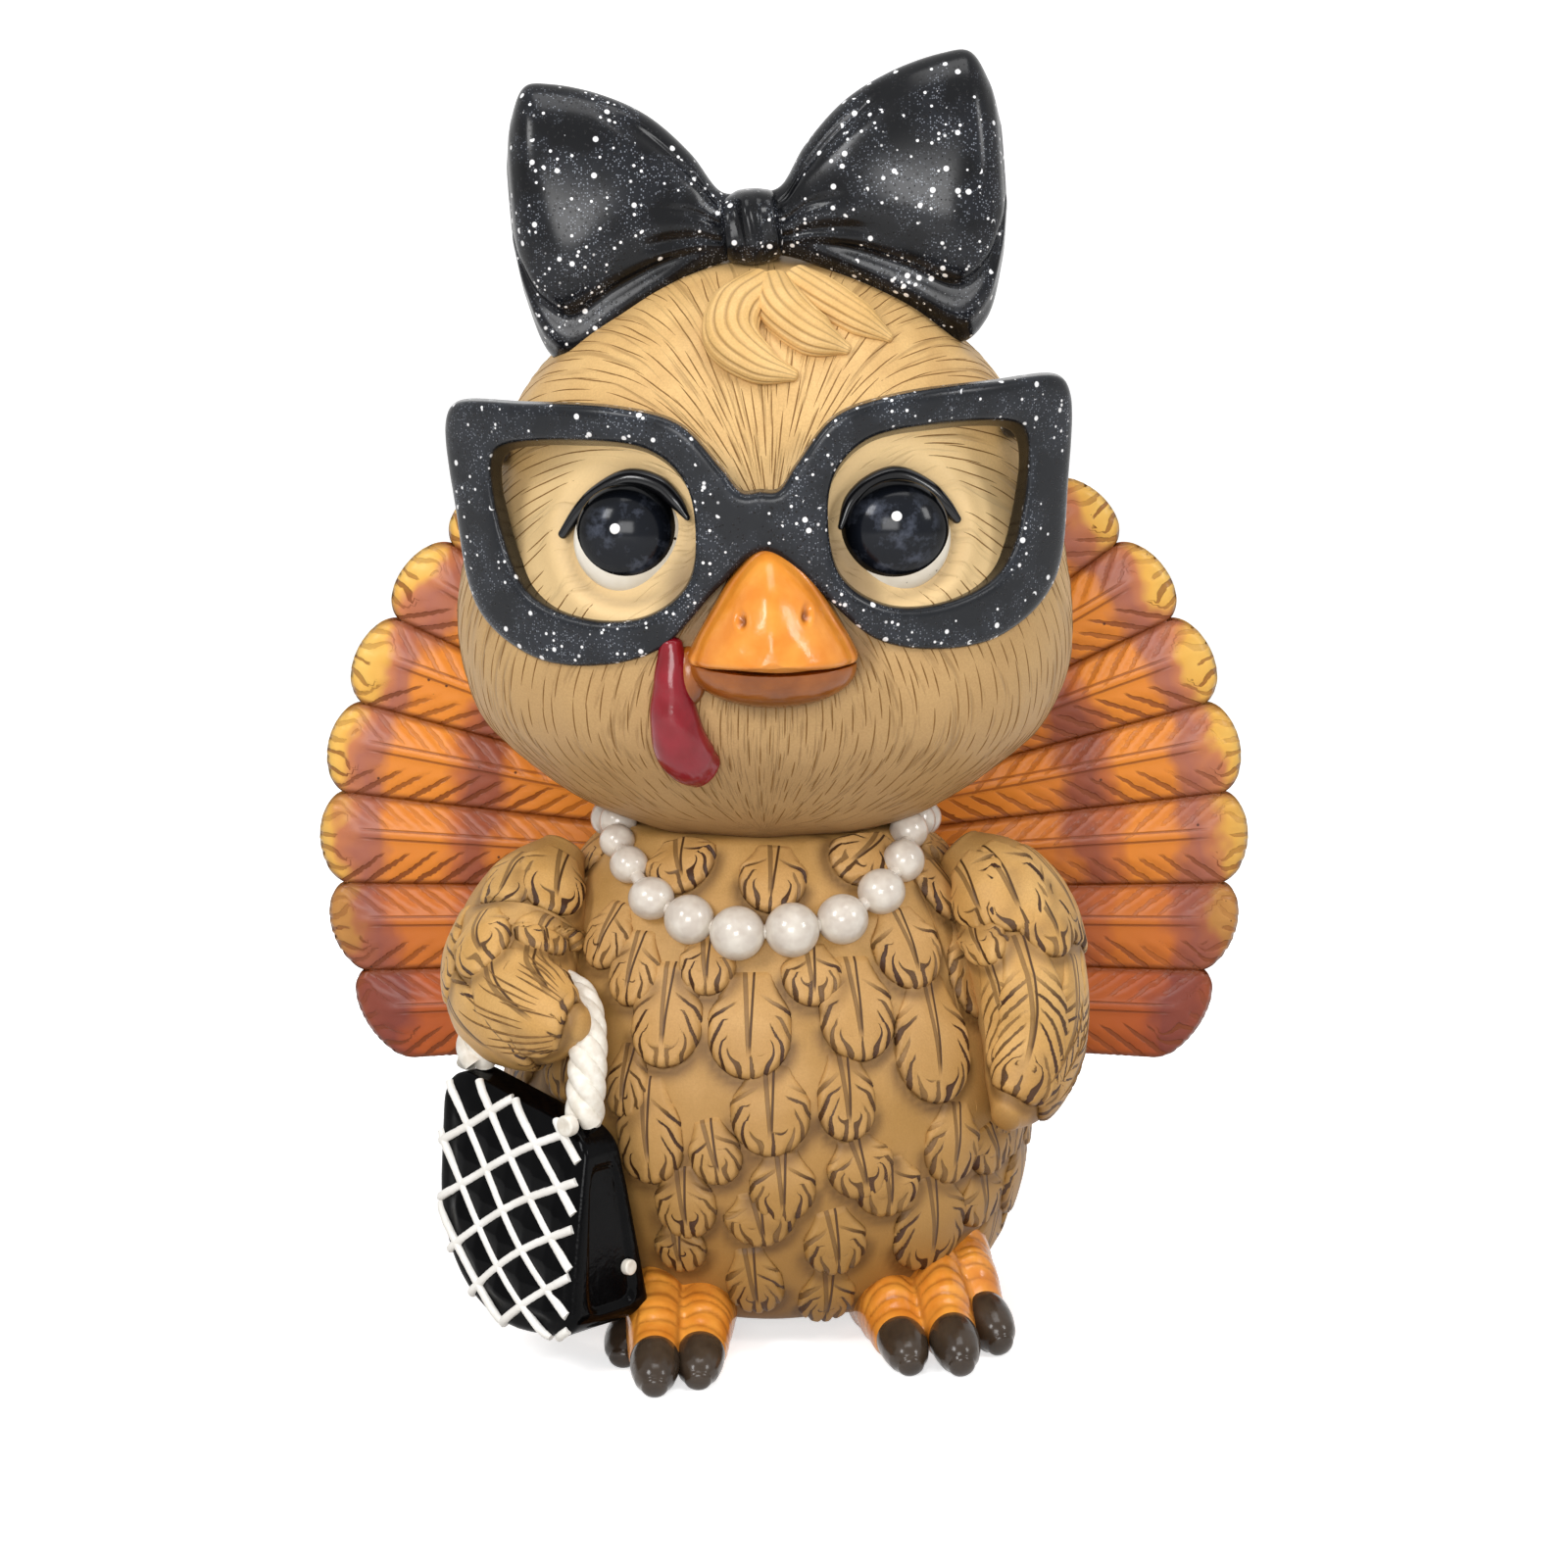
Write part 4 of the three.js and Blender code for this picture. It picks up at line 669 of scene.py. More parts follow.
# %%
BREAST = [
    (-23.3, 93.0, -34.5, 105.2, 13.7), (1.2, 89.0, 3.4, 103.0, 12.9),
    (23.1, 96.9, 50.7, 105.2, 11.3), (-45.4, 75.7, -44.6, 88.5, 11.2),
    (-33.7, 69.6, -34.0, 83.5, 10.7), (-22.6, 58.7, -23.8, 77.5, 14.0),
    (-13.6, 72.9, -15.3, 84.5, 11.0), (-3.3, 57.2, -3.7, 76.3, 15.8),
    (11.7, 70.9, 11.6, 82.2, 11.7), (21.8, 60.0, 21.9, 78.6, 14.7),
    (39.7, 72.4, 38.7, 87.6, 15.5), (38.8, 50.4, 42.2, 73.1, 17.2),
    (61.7, 83.0, 66.6, 96.0, 16.7), (58.4, 63.8, 65.3, 81.1, 16.5),
    (80.7, 92.3, 82.5, 100.4, 15.3), (1.4, 42.7, 1.0, 58.7, 15.1),
    (17.7, 45.2, 17.4, 61.0, 11.2), (-23.7, 36.5, -26.1, 55.8, 13.3),
    (-30.6, 48.5, -30.8, 61.9, 9.0), (-8.7, 37.2, -12.1, 48.7, 10.1),
    (4.1, 29.7, 3.4, 42.9, 12.6), (22.1, 33.9, 19.0, 45.1, 13.2),
    (27.1, 29.6, 26.2, 40.8, 13.8), (41.7, 34.4, 44.3, 49.1, 13.5),
    (-16.4, 25.9, -17.7, 39.5, 12.0), (0.3, 24.6, -1.8, 34.8, 14.1),
    (-18.7, 18.2, -19.5, 28.4, 10.2), (-1.5, 7.8, -3.4, 22.6, 10.9),
    (17.2, 17.8, 14.3, 30.8, 12.1), (40.9, 16.2, 37.4, 35.6, 16.4),
    (57.8, 34.1, 54.9, 43.5, 14.2), (55.6, 23.2, 53.8, 33.9, 13.4),
    (-46.3, 49.7, -48.0, 61.9, 13.5), (16.5, 4.0, 15.0, 18.0, 11.0)]


def breast_feathers():
    forms = []
    for k, (tip, tip_run, base, base_run, width) in enumerate(BREAST):
        course = np.array([[math.radians(base), base_run], [math.radians(tip), tip_run]])
        longer = course[1] + (course[0] - course[1]) * 1.12
        forms.append(tongue(TORSO, [longer, course[1]], width, seed=k, rise=1.45))
    return forms


def back_feathers():
    random = np.random.default_rng(11)
    forms = []
    for row, run in enumerate(np.arange(8.0, 92.0, 13.5)):
        share = TORSO.share_at(TORSO.skin(np.array([0.0]), np.array([run]))[0, 2])
        pitch = math.degrees(15.0 / (share * 48))
        left = -62 if run > 30 else -36
        turn = (66 if run < 60 else 86) + (row % 2) * pitch / 2
        while turn < 360 + left:
            tip = math.radians(turn + random.uniform(-1, 1))
            forms.append(tongue(TORSO, [(tip, run + 17.5), (tip, run + random.uniform(-1, 1))],
                                15.5, rows=24, columns=22, rise=1.2, seed=row + turn))
            turn += pitch
    return forms


breast = breast_feathers()
back = back_feathers()
body = skin_form(TORSO, np.arange(220) * 2 * math.pi / 220, np.linspace(0, TORSO.run[-1], 90))
wash_and_shade_under_feathers(breast + back, [body])
# Painted shade: the body is darkened low down, near the floor.
low = body.points[:, 2]
body.notes["wash"] = np.maximum(body.notes["wash"], 0.5 * (1 - step(5, 12, low))[:, None])
piece("body_casting", body, TAN_PLAIN, "tan_resin", "torso")
half = len(breast) // 2
piece("breast_feathers_upper", joined(breast[:half]), TAN_BREAST, "tan_resin", "torso")
piece("breast_feathers_lower", joined(breast[half:]), TAN_BREAST, "tan_resin", "torso")
piece("back_feathers", joined(back), TAN_BREAST, "tan_resin", "torso")
print("breast feathers:", len(breast), "back feathers:", len(back))

# %% [markdown]
# ## 7. The wings
#
# Each wing is a sweep, like a mitten: covered in short scallops at the shoulder, and below them
# long flight feathers with a quill and barbs. The long ones use the same tongue as the breast,
# on a bent course, with cuts of their own.

# %%
def wing_form(surface):
    rings, _ = surface.grid(90, 96, start_dome=1.5, end_dome=1.6)
    return closed(rings, wash=0.25 * np.ones((*rings.shape[:2], 1)))


def feathers_on(surface, list_of_feathers, **shape):
    forms = []
    for k, (width, rise, *course) in enumerate(list_of_feathers):
        course = [(math.radians(turn), share) for turn, share in course]
        forms.append(tongue(surface, course, width, rise=rise, seed=k, **shape))
    return forms


left_short = feathers_on(LEFT_WING, [
    (15, 1.2, (172, 0.03), (182, 0.26)), (13, 1.1, (128, 0.10), (133, 0.33)),
    (14, 1.3, (140, 0.38), (141, 0.64)), (13, 1.3, (196, 0.36), (200, 0.66)),
    (13, 1.1, (92, 0.28), (92, 0.55)), (12, 1.0, (232, 0.25), (238, 0.5))])
left_long = feathers_on(LEFT_WING, [
    (15, 1.0, (100, 0.42), (70, 0.66), (30, 0.80)), (15, 1.3, (150, 0.56), (105, 0.84), (60, 0.97)),
    (14, 1.3, (190, 0.60), (150, 0.86), (110, 1.0)), (13, 0.9, (60, 0.4), (35, 0.62), (5, 0.75))],
    rows=60, columns=40, cuts=SWEPT)
right_short = feathers_on(RIGHT_WING, [
    (15, 1.2, (-12, 0.04), (-5, 0.27)), (16, 1.3, (28, 0.06), (26, 0.33)),
    (15, 1.3, (48, 0.18), (50, 0.43)), (14, 1.1, (84, 0.12), (84, 0.40)),
    (13, 1.1, (-22, 0.2), (-18, 0.42)), (14, 1.1, (116, 0.16), (116, 0.42))])
right_long = feathers_on(RIGHT_WING, [
    (14, 1.0, (70, 0.40), (66, 0.68), (60, 0.93)), (15, 1.4, (16, 0.30), (18, 0.70), (20, 0.97)),
    (14, 1.0, (102, 0.38), (98, 0.66), (92, 0.92)), (12, 0.9, (-20, 0.34), (-14, 0.66), (-8, 0.9))],
    rows=60, columns=40, cuts=BARB)
WING_FORMS = {}
for name, surface, short, long in (("left", LEFT_WING, left_short, left_long),
                                   ("right", RIGHT_WING, right_short, right_long)):
    base = wing_form(surface)
    WING_FORMS[name] = [base, *short, *long]
    wash_and_shade_under_feathers(short + long, [base])
    base.notes["edge"] = base.notes["leaf"] = np.tile([0.0, 9.0, 0.0], (len(base.points), 1))
    piece(f"wing_{name}_casting", base, TAN_WING, "tan_resin", f"wing_{name}")
    piece(f"wing_{name}_short_feathers", joined(short), TAN_WING, "tan_resin", f"wing_{name}")
    piece(f"wing_{name}_long_feathers", joined(long), TAN_FLIGHT, "tan_resin", f"wing_{name}")
    print(name, "wing:", len(short), "short feathers and", len(long), "long ones")

# %% [markdown]
# ## 8. The head
#
# The head is one smooth pear with a soft fold round each eye. Its down is a thousand and more
# cuts: they leave the bridge of the beak, fan over the brow and down the cheeks, and meet again
# under the chin. That is the field of a source and a sink, so each cut simply follows it.

# %%
GLASSES = dict(x=-3.9, z=158.0)
EYES = []
for hand in (-1, 1):
    x = FIGURE_X - 0.6 + hand * 24.55
    z = HEAD.z + 60.7 + hand * 24.55 * math.tan(math.radians(1.6))
    EYES.append(np.array([x, float(HEAD.front(x, z)), z]))
BEAK_X, MOUTH_Z = -2.0, 134.6
FACE_Y = float(HEAD.front(BEAK_X, MOUTH_Z))
SOURCE, SINK = np.array([-2.6, -50.0, 158.0]), np.array([-4.0, -24.0, 93.0])


def lie_of_down(points):
    """Round the line from source to sink, and along it; the first two need no seam."""
    axis = unit(SINK - SOURCE)
    ahead = unit(np.cross([1.0, 0, 0], axis))
    across = np.cross(axis, ahead)
    off = points - SOURCE
    turn = np.arctan2(off @ across, off @ ahead)
    along = np.log(np.linalg.norm(off, axis=1) / np.linalg.norm(points - SINK, axis=1))
    return np.stack([34 * np.cos(turn), 34 * np.sin(turn), 2.2 * along], -1)


def head_relief(points):
    height = 0.25 * lumps(points, 16, 5)
    for eye in EYES:
        away = np.linalg.norm((points - eye) * [1, 0.6, 1], axis=-1)
        height += 0.6 * bell(away - 14.6, 2.0) * (points[:, 1] < -20)
        height -= 0.4 * bell(away - 11.6, 1.4) * (points[:, 1] < -20)
    return height


turn_count, run_count = 300, 190
turns = np.arange(turn_count) * 2 * math.pi / turn_count
turns = turns - 0.35 * np.sin(turns)
run, turn = np.meshgrid(np.linspace(0.3, HEAD.run[-1] - 0.3, run_count), turns, indexing="ij")
bare = HEAD.skin(turn, run)
relief = head_relief(bare.reshape(-1, 3)).reshape(run.shape)
head = closed(HEAD.place(turn, run, relief), wash=np.zeros((*run.shape, 1)))
spot = head.points
# Brown wash with painted shade round the beak, and painted shade low under the head, where it meets
# the neck.
around_beak = np.linalg.norm((spot - [BEAK_X, FACE_Y, 143.5]) * [1 / 17.5, 0.02, 1 / 15], axis=1)
under = (1 - step(97, 104, spot[:, 2])) * 0.6
head.notes["wash"] = np.maximum(0.75 * (1 - step(1.0, 1.35, around_beak)), under)[:, None]
# Painted shade with the wash in the fold round each eye.
for eye in EYES:
    away = np.linalg.norm(spot - eye, axis=1)
    head.notes["wash"][:, 0] = np.maximum(head.notes["wash"][:, 0], 0.35 * bell(away - 11.9, 1.0))
head.notes["down"] = lie_of_down(head.points)
# Painted light: the skin round the eyes is painted lighter, lifting the shade of the glasses.
near_eye = np.min([np.linalg.norm((spot - eye) * [0.8, 0.6, 1], axis=1) for eye in EYES], axis=0)
head.notes["pale"] = 0.6 * (1 - step(15.0, 23.0, near_eye))[:, None]
piece("head_casting", head, TAN_HEAD, "tan_resin", "head")
print("head:", len(head.faces), "faces")

# %% [markdown]
# ### Cutting the down
#
# Places for the cuts are thrown at random, and kept only where no kept one is too near, with
# more room along the cut than across it. The field then carries each place a few millimetres
# both ways. The curves become thin spindles with Geometry Nodes: the radius swells from nothing
# and returns to it, and each sits a hair under the skin, so a dark fine line is left.

# %%
def field(points):
    from_source, from_sink = points - SOURCE, points - SINK
    return (from_source / (from_source**2).sum(-1, keepdims=True)
            - from_sink / (from_sink**2).sum(-1, keepdims=True))


def follow(surface, turn, run, length, steps=5):
    """Both ways from a place along the field, as runs of points just under the skin."""
    halves = []
    for way in (-1, 1):
        p, q = turn.copy(), run.copy()
        kept = []
        for _ in range(steps):
            here = surface.skin(p, q)
            along_p, along_q = surface.slopes(p, q)
            pull = field(here)
            dp = (pull * along_p).sum(-1) / (along_p**2).sum(-1)
            dq = (pull * along_q).sum(-1) / (along_q**2).sum(-1)
            size = np.linalg.norm(along_p * dp[:, None] + along_q * dq[:, None], axis=-1)
            p = p + way * dp / size * length / steps / 2
            q = np.clip(q + way * dq / size * length / steps / 2, 1, surface.run[-1] - 4)
            kept.append(np.stack([p, q], -1))
        halves.append(kept)
    return np.stack(halves[0][::-1] + [np.stack([turn, run], -1)] + halves[1], 1)


random = np.random.default_rng(4)
seeds = np.stack([random.uniform(-math.pi, math.pi, 26000),
                  random.uniform(3, HEAD.run[-1] - 6, 26000)], -1)
at = HEAD.skin(seeds[:, 0], seeds[:, 1])
room = np.clip(np.linalg.norm(at - SOURCE, axis=1) / 38, 0.55, 1.25)
brow = step(150, 172, at[:, 2])
chin = (1 - step(112, 124, at[:, 2])) * (at[:, 1] < -10)
length = (10.5 + 7 * brow - 3.5 * chin) * random.uniform(0.6, 1.25, len(at)) * np.sqrt(room)
clear = np.ones(len(at), bool)
for eye in EYES:
    clear &= np.linalg.norm((at - eye) * [1, 0.5, 1], axis=1) > 16.5
clear &= np.linalg.norm((at - [BEAK_X, FACE_Y, 143.5]) * [1 / 16.5, 0.02, 1 / 14.5], axis=1) > 1
clear &= ~((at[:, 2] < 103) & (at[:, 1] < -8))
clear &= at[:, 2] < 203
keep = []
ways = unit(field(at))
for k in np.flatnonzero(clear):
    if keep:
        gap = at[k] - at[keep]
        along = (gap * ways[k]).sum(1)
        off = np.linalg.norm(gap - along[:, None] * ways[k], axis=1)
        near = (off / (1.75 * room[k])) ** 2 + (along / (0.8 * length[k])) ** 2
        if near.min() < 1:
            continue
    keep.append(k)
paths = follow(HEAD, seeds[keep, 0], seeds[keep, 1], length[keep])
print("cuts on the head:", len(keep))


def new_group(name, *inputs):
    """A geometry tree, its input node, and the identifiers of its inputs after the first."""
    tree = bpy.data.node_groups.new(name, "GeometryNodeTree")
    made = [tree.interface.new_socket(label, in_out="INPUT", socket_type="NodeSocket" + kind)
            for label, kind in inputs]
    tree.interface.new_socket("Mesh", in_out="OUTPUT", socket_type="NodeSocketGeometry")
    return tree, tree.nodes.new("NodeGroupInput"), [socket.identifier for socket in made[1:]]


def end_group(tree, given, mesh):
    """Realises what a tree made, gives it the material from its input, and puts it out."""
    real = add(tree, "GeometryNodeRealizeInstances", {"Geometry": mesh})
    named = add(tree, "GeometryNodeSetMaterial", {"Geometry": real,
                                                  "Material": given.outputs["Paint"]})
    add(tree, "NodeGroupOutput", {"Mesh": named})


def cut_tree():
    """Curves in, spindles out: named inputs for the half width and the material."""
    tree, given, names = new_group("fine_cuts", ("Curves", "Geometry"), ("Half width", "Float"),
                                   ("Paint", "Material"))
    along = tree.nodes.new("GeometryNodeSplineParameter").outputs["Factor"]
    arch = calc(tree, "MULTIPLY", along, math.pi)
    arch = calc(tree, "SINE", arch)
    arch = calc(tree, "POWER", arch, 0.6)
    size = calc(tree, "MULTIPLY", arch, given.outputs["Half width"])
    rounds = add(tree, "GeometryNodeCurvePrimitiveCircle", {"Resolution": 5, "Radius": 1.0})
    shape = add(tree, "GeometryNodeSetCurveRadius", {"Curve": given.outputs["Curves"],
                                                     "Radius": size})
    swept = add(tree, "GeometryNodeCurveToMesh", {"Curve": shape, "Profile Curve": rounds,
                                                  "Scale": size, "Fill Caps": True})
    end_group(tree, given, swept)
    return tree, *names


def as_mesh(thing):
    """The finished mesh of an object with modifiers, or of a curve; the object itself goes."""
    bpy.context.scene.collection.objects.link(thing)
    bpy.context.view_layer.update()
    graph = bpy.context.evaluated_depsgraph_get()
    mesh = bpy.data.meshes.new_from_object(thing.evaluated_get(graph))
    thing.modifiers.clear()
    bpy.data.objects.remove(thing)
    return mesh


def through_nodes(name, source, tree, inputs, slot, *nodes):
    """Runs a node tree on an object and keeps the result as a plain mesh."""
    nodes_on = source.modifiers.new("nodes", "NODES")
    nodes_on.node_group = tree
    for key, value in inputs.items():
        nodes_on[key] = value
    mesh = as_mesh(source)
    mesh.name = name
    mesh.polygons.foreach_set("use_smooth", [True] * len(mesh.polygons))
    thing = in_scene(name, mesh)
    finish_piece(thing, nodes)
    print(name, len(mesh.polygons), "faces")


def poly_curves(paths, cyclic=False):
    """Runs of points in millimetres as one curve object of straight-sided splines."""
    curve = bpy.data.curves.new("guide", "CURVE")
    curve.dimensions = "3D"
    for path in paths:
        spline = curve.splines.new("POLY")
        spline.points.add(len(path) - 1)
        spline.points.foreach_set(
            "co", np.hstack([path * MM, np.ones((len(path), 1))]).astype(float).ravel())
        spline.use_cyclic_u = cyclic
    return bpy.data.objects.new("guide", curve)


def wash_paint(name, colour):
    """Thin brown wash, specked with the tan under it."""
    paint = Paint(name, Roughness=0.6, Specular_IOR_Level=0.2)
    speck = noise(paint.tree, paint.where, 700.0)
    return paint.coat(blended(paint.tree, speck, colour, "a07a48"))


def on_top(forms, surface, course):
    """A course over a surface, dropped on whatever lies highest there."""
    places = chain(np.array(course, float), np.linspace(0, 1, 22))
    high = surface.place(places[:, 0], places[:, 1], 6.0)
    deep = surface.place(places[:, 0], places[:, 1], 0.0)
    path = []
    for start, end in zip(high, deep):
        hits = [form.ray_cast(Vector(start), Vector(unit(end - start)), 9.0) for form in forms]
        spots = [hit[0] for hit in hits if hit[0] is not None]
        path.append(min(spots, key=lambda spot: (spot - Vector(start)).length) if spots else end)
    return np.array(path)


CUT_WASH = wash_paint("brown_wash_in_cuts", "664620")
WING_WASH = wash_paint("brown_wash_on_wings", "4a2c12")
CUTS, CUT_SIZE, CUT_PAINT = cut_tree()
lines = []
for path in paths:
    lines.append(HEAD.place(path[:, 0], path[:, 1],
                            head_relief(HEAD.skin(path[:, 0], path[:, 1])) - 0.07))
through_nodes("head_down_cuts", poly_curves(lines), CUTS,
              {CUT_SIZE: 0.18 * MM, CUT_PAINT: CUT_WASH}, "tan_resin", "head")

# %% [markdown]
# The same spindles make the long cuts on the wings, which run with the arm over the flight
# feathers. Each is dropped on the feathers from outside, so it lies on whichever is on top.

# %%
random = np.random.default_rng(9)
for name, surface, spread, start, finish in (
        ("left", LEFT_WING, np.arange(50, 226, 8.0), 0.6, 0.97),
        ("right", RIGHT_WING, np.arange(62, 120, 9.0), 0.5, 0.9)):
    tops = [BVHTree.FromPolygons(form.points.tolist(), form.faces) for form in WING_FORMS[name]]
    lines = []
    for turn in spread:
        a = start + random.uniform(0, 0.16)
        b = min(a + random.uniform(0.16, 0.26), finish)
        course = [(math.radians(turn + lean), share) for lean, share in (
            (6, a), (2, (a + b) / 2), (-4, b))]
        lines.append(on_top(tops, surface, course))
    through_nodes(f"wing_{name}_long_cuts", poly_curves(lines), CUTS,
                  {CUT_SIZE: 0.24 * MM, CUT_PAINT: WING_WASH}, "tan_resin", f"wing_{name}")

# %% [markdown]
# ## 9. Eyes
#
# Hand-brushed gloss enamel: blue-black domes, mottled grey in the middle and black at the rim, sit
# on cream whites with a few stray specks; the grey mottling is partly a painted reflection. A
# thick black lid line hugs the top of each, and a small white dot, a painted highlight, gives it
# life. The domes and whites are ellipsoids half sunk in the skin; their places and half sizes are
# given each eye for itself, as it was sculpted.

# %%
def gloss(name, colour, shade=None, rough=0.14, coat=0.0, shine=0.3, spot_size=0.006, bump=0.0,
          specks=None):
    """A brushed gloss enamel: two close tones in soft patches, and stray specks if asked."""
    paint = Paint(name, Roughness=rough, Coat_Weight=coat, Coat_Roughness=0.08, IOR=1.5,
                  Specular_IOR_Level=shine)
    tree, where = paint.tree, paint.where
    patch = noise(tree, where, 1 / spot_size, Detail=2.0)
    tone = remap(tree, patch, 0.35, 0.65)
    shown = blended(tree, tone, colour, shade or colour)
    if specks:
        cells = add(tree, "ShaderNodeTexVoronoi", {"Vector": where, "Scale": 1 / 0.0024})
        near = remap(tree, cells, 0.1, 0.15, 1.0, 0.0)
        shown = blended(tree, near, shown, specks)
    if not bump:
        return paint.coat(shown)
    fine = noise(tree, where, 700.0)
    return paint.coat(shown, fine, bump, 0.0004)


def iris_enamel(name, middle, cloud, rim):
    """Grey clouds over blue-black, partly brushed and partly a painted reflection, and plain black
    towards the edge of the dome.
    """
    paint = Paint(name, Roughness=0.14, IOR=1.5, Specular_IOR_Level=0.16)
    tree, where = paint.tree, paint.where
    clouds = noise(tree, where, 210.0, Detail=4.0, Roughness=0.65)
    tone = remap(tree, clouds, 0.5, 0.7)
    edge = remap(tree, attribute(tree, "from_middle", "value"), 0.62, 0.9)
    return paint.coat(blended(tree, edge, blended(tree, tone, middle, cloud), rim))


EYE_BLACK = iris_enamel("blue_black_enamel", "11141b", "4b505d", "050608")
LID_BLACK = gloss("black_enamel_lid", "0a0a0c", "131316", rough=0.16, shine=0.35)
EYE_WHITE = gloss("cream_enamel", "efe8da", "e0d6c4", rough=0.3, specks="2b2118")
HIGHLIGHT_DOT_WHITE = gloss("white_enamel_dot", "ffffff", rough=0.3, shine=0.2)
EYE_SHAPES = {
    "left": dict(dome=(.2, .35, 1.05), dome_half=(9.5, 6.4, 9.15), dot=(-30.6, 159.7),
                 rim=(.55, .2, -.5), rim_half=(10.25, 4.4, 9.7), lid=[
                     (-40.6, 157.6, .9), (-37.4, 161.9, 1.45), (-34.3, 164.9, 1.75),
                     (-28.3, 168.0, 1.95), (-22.8, 167.0, 1.8), (-19.7, 164.3, 1.4),
                     (-17.7, 161.6, .6)]),
    "right": dict(dome=(-.2, -.2, .3), dome_half=(10.05, 6.45, 9.5), dot=(20.4, 162),
                  rim=(0, -.1, -1.2), rim_half=(10.1, 4.4, 9.95), lid=[
                      (10.4, 160.0, .6), (12.3, 164.4, 1.4), (16.0, 167.4, 1.75),
                      (20.7, 168.5, 1.95), (26.4, 165.8, 1.85), (29.4, 163.0, 1.5),
                      (31.7, 160.4, .85)])}
for (hand, shape), eye in zip(EYE_SHAPES.items(), EYES):
    middle, half = eye + shape["dome"], np.array(shape["dome_half"])
    dome = ellipsoid(middle, half)
    away = (dome.points - middle) / half
    dome.notes["from_middle"] = np.hypot(away[:, 0], away[:, 2])[:, None]
    piece(f"eye_dome_{hand}", dome, EYE_BLACK, "eye_black", f"eyeball_{hand}")
    piece(f"eye_rim_{hand}", ellipsoid(eye + shape["rim"], shape["rim_half"]), EYE_WHITE,
          "eye_white", f"eye_white_{hand}")
    # A painted highlight: a small white dot on each dome.
    x, z = shape["dot"]
    bulge = 1 - ((x - middle[0]) / half[0]) ** 2 - ((z - middle[2]) / half[2]) ** 2
    piece(f"eye_dot_{hand}", ellipsoid((x, middle[1] - half[1] * math.sqrt(bulge) + 0.1, z),
                                       (1.0, 0.45, 1.0), 16, 20), HIGHLIGHT_DOT_WHITE, "eye_white")
    lid = [([x, float(HEAD.front(x, z)) - 1.5, z], thick, thick * 1.15)
           for x, z, thick in shape["lid"]]
    piece(f"eye_lid_{hand}", closed(Sweep(lid, (0, -1, 0)).grid(70, 28, 0.8, 0.8)[0]), LID_BLACK,
          "eye_black", f"eyelash_{hand}")
print("eyes at", [eye.round(1).tolist() for eye in EYES])

# %% [markdown]
# ## 10. Beak and snood
#
# Both are gloss enamel over smooth resin. The beak is a stack of shrinking outlines carried
# forward from the face: a flat flange of harder skin, a small step in, then a smooth ridge that
# falls to the mouth. A nostril is pressed in on each side, and the mouth is the gap over a darker
# lower lip. A thin brown wash lies on the flange, and a wash with painted shade darkens the step,
# the nostrils and the underside of the lower lip below the mouth.

# %%
def washed_enamel(name, light, dark, wash, rough=0.22, bump=0.2):
    """Gloss enamel in two tones, darkened to a brown where a note of the points says so: a brown
    wash, and painted shade in creases, recesses and underneath.
    """
    paint = Paint(name, Roughness=rough, Specular_IOR_Level=0.4)
    tree, where = paint.tree, paint.where
    patch = noise(tree, where, 180.0, Detail=3.0)
    tone = remap(tree, patch, 0.35, 0.65)
    colour = blended(tree, tone, light, dark)
    stain_and_shade = attribute(tree, "wash", "value")
    fine = noise(tree, where, 600.0)
    return paint.coat(blended(tree, stain_and_shade, colour, wash), fine, bump, 0.0003)


OUTLINE = [[-1, .06], [-.5, .0], [0, -.02], [.5, .0], [1, .075], [.94, .2], [.68, .52],
           [.34, .86], [-.06, 1.05], [-.4, .86], [-.7, .52], [-.94, .2]]
REACH = [[0, 1], [.3, 1], [.48, .985], [.525, .96], [.55, .92], [.66, .86], [.8, .7], [.92, .46],
         [1, .14]]
BEAK_WIDE, BEAK_HIGH, BEAK_LONG = 15.5, 21.8, 23.5
NOSTRILS = ((-7.7, 144.5), (4.1, 145.4))


def upper_beak():
    columns = 220
    across, up = evenly(OUTLINE, columns, closed=True).T
    places = chain(REACH, np.linspace(0, 1, 130))
    rings = np.array([np.stack([
        BEAK_X + across * size * BEAK_WIDE, np.full(columns, FACE_Y + 8 - BEAK_LONG * reach),
        MOUTH_Z + (up * size + 0.1 * (1 - size)) * BEAK_HIGH], -1) for reach, size in places])
    side = np.gradient(rings, axis=0)
    round_ = np.roll(rings, -1, 1) - np.roll(rings, 1, 1)
    out = unit(np.cross(round_, side))
    if (out[:, :, 0] * (rings[:, :, 0] - BEAK_X)).sum() < 0:
        out = -out
    front = step(0.5, 0.56, places[:, 0])[:, None]
    above = step(1.5, 4.0, rings[..., 2] - MOUTH_Z)
    height = 0.1 * lumps(rings.reshape(-1, 3), 9, 9).reshape(rings.shape[:2])
    # A wash over the flange, and wash with painted shade in the step and the nostrils.
    stain_and_shade = 0.45 * (1 - front) + 0.35 * bell(places[:, 0] - 0.53, 0.03)[:, None] * above
    for x, z in NOSTRILS:
        away = np.hypot((rings[..., 0] - x) / 0.75, (rings[..., 2] - z) / 1.25)
        height += front * (-1.1 * np.exp(-away**2) + 0.1 * np.exp(-((away - 1.7) / 0.5) ** 2))
        stain_and_shade = np.maximum(stain_and_shade, 1.0 * front * np.exp(-(away / 0.85) ** 4))
    return closed(rings + out * height[..., None], wash=stain_and_shade[..., None])


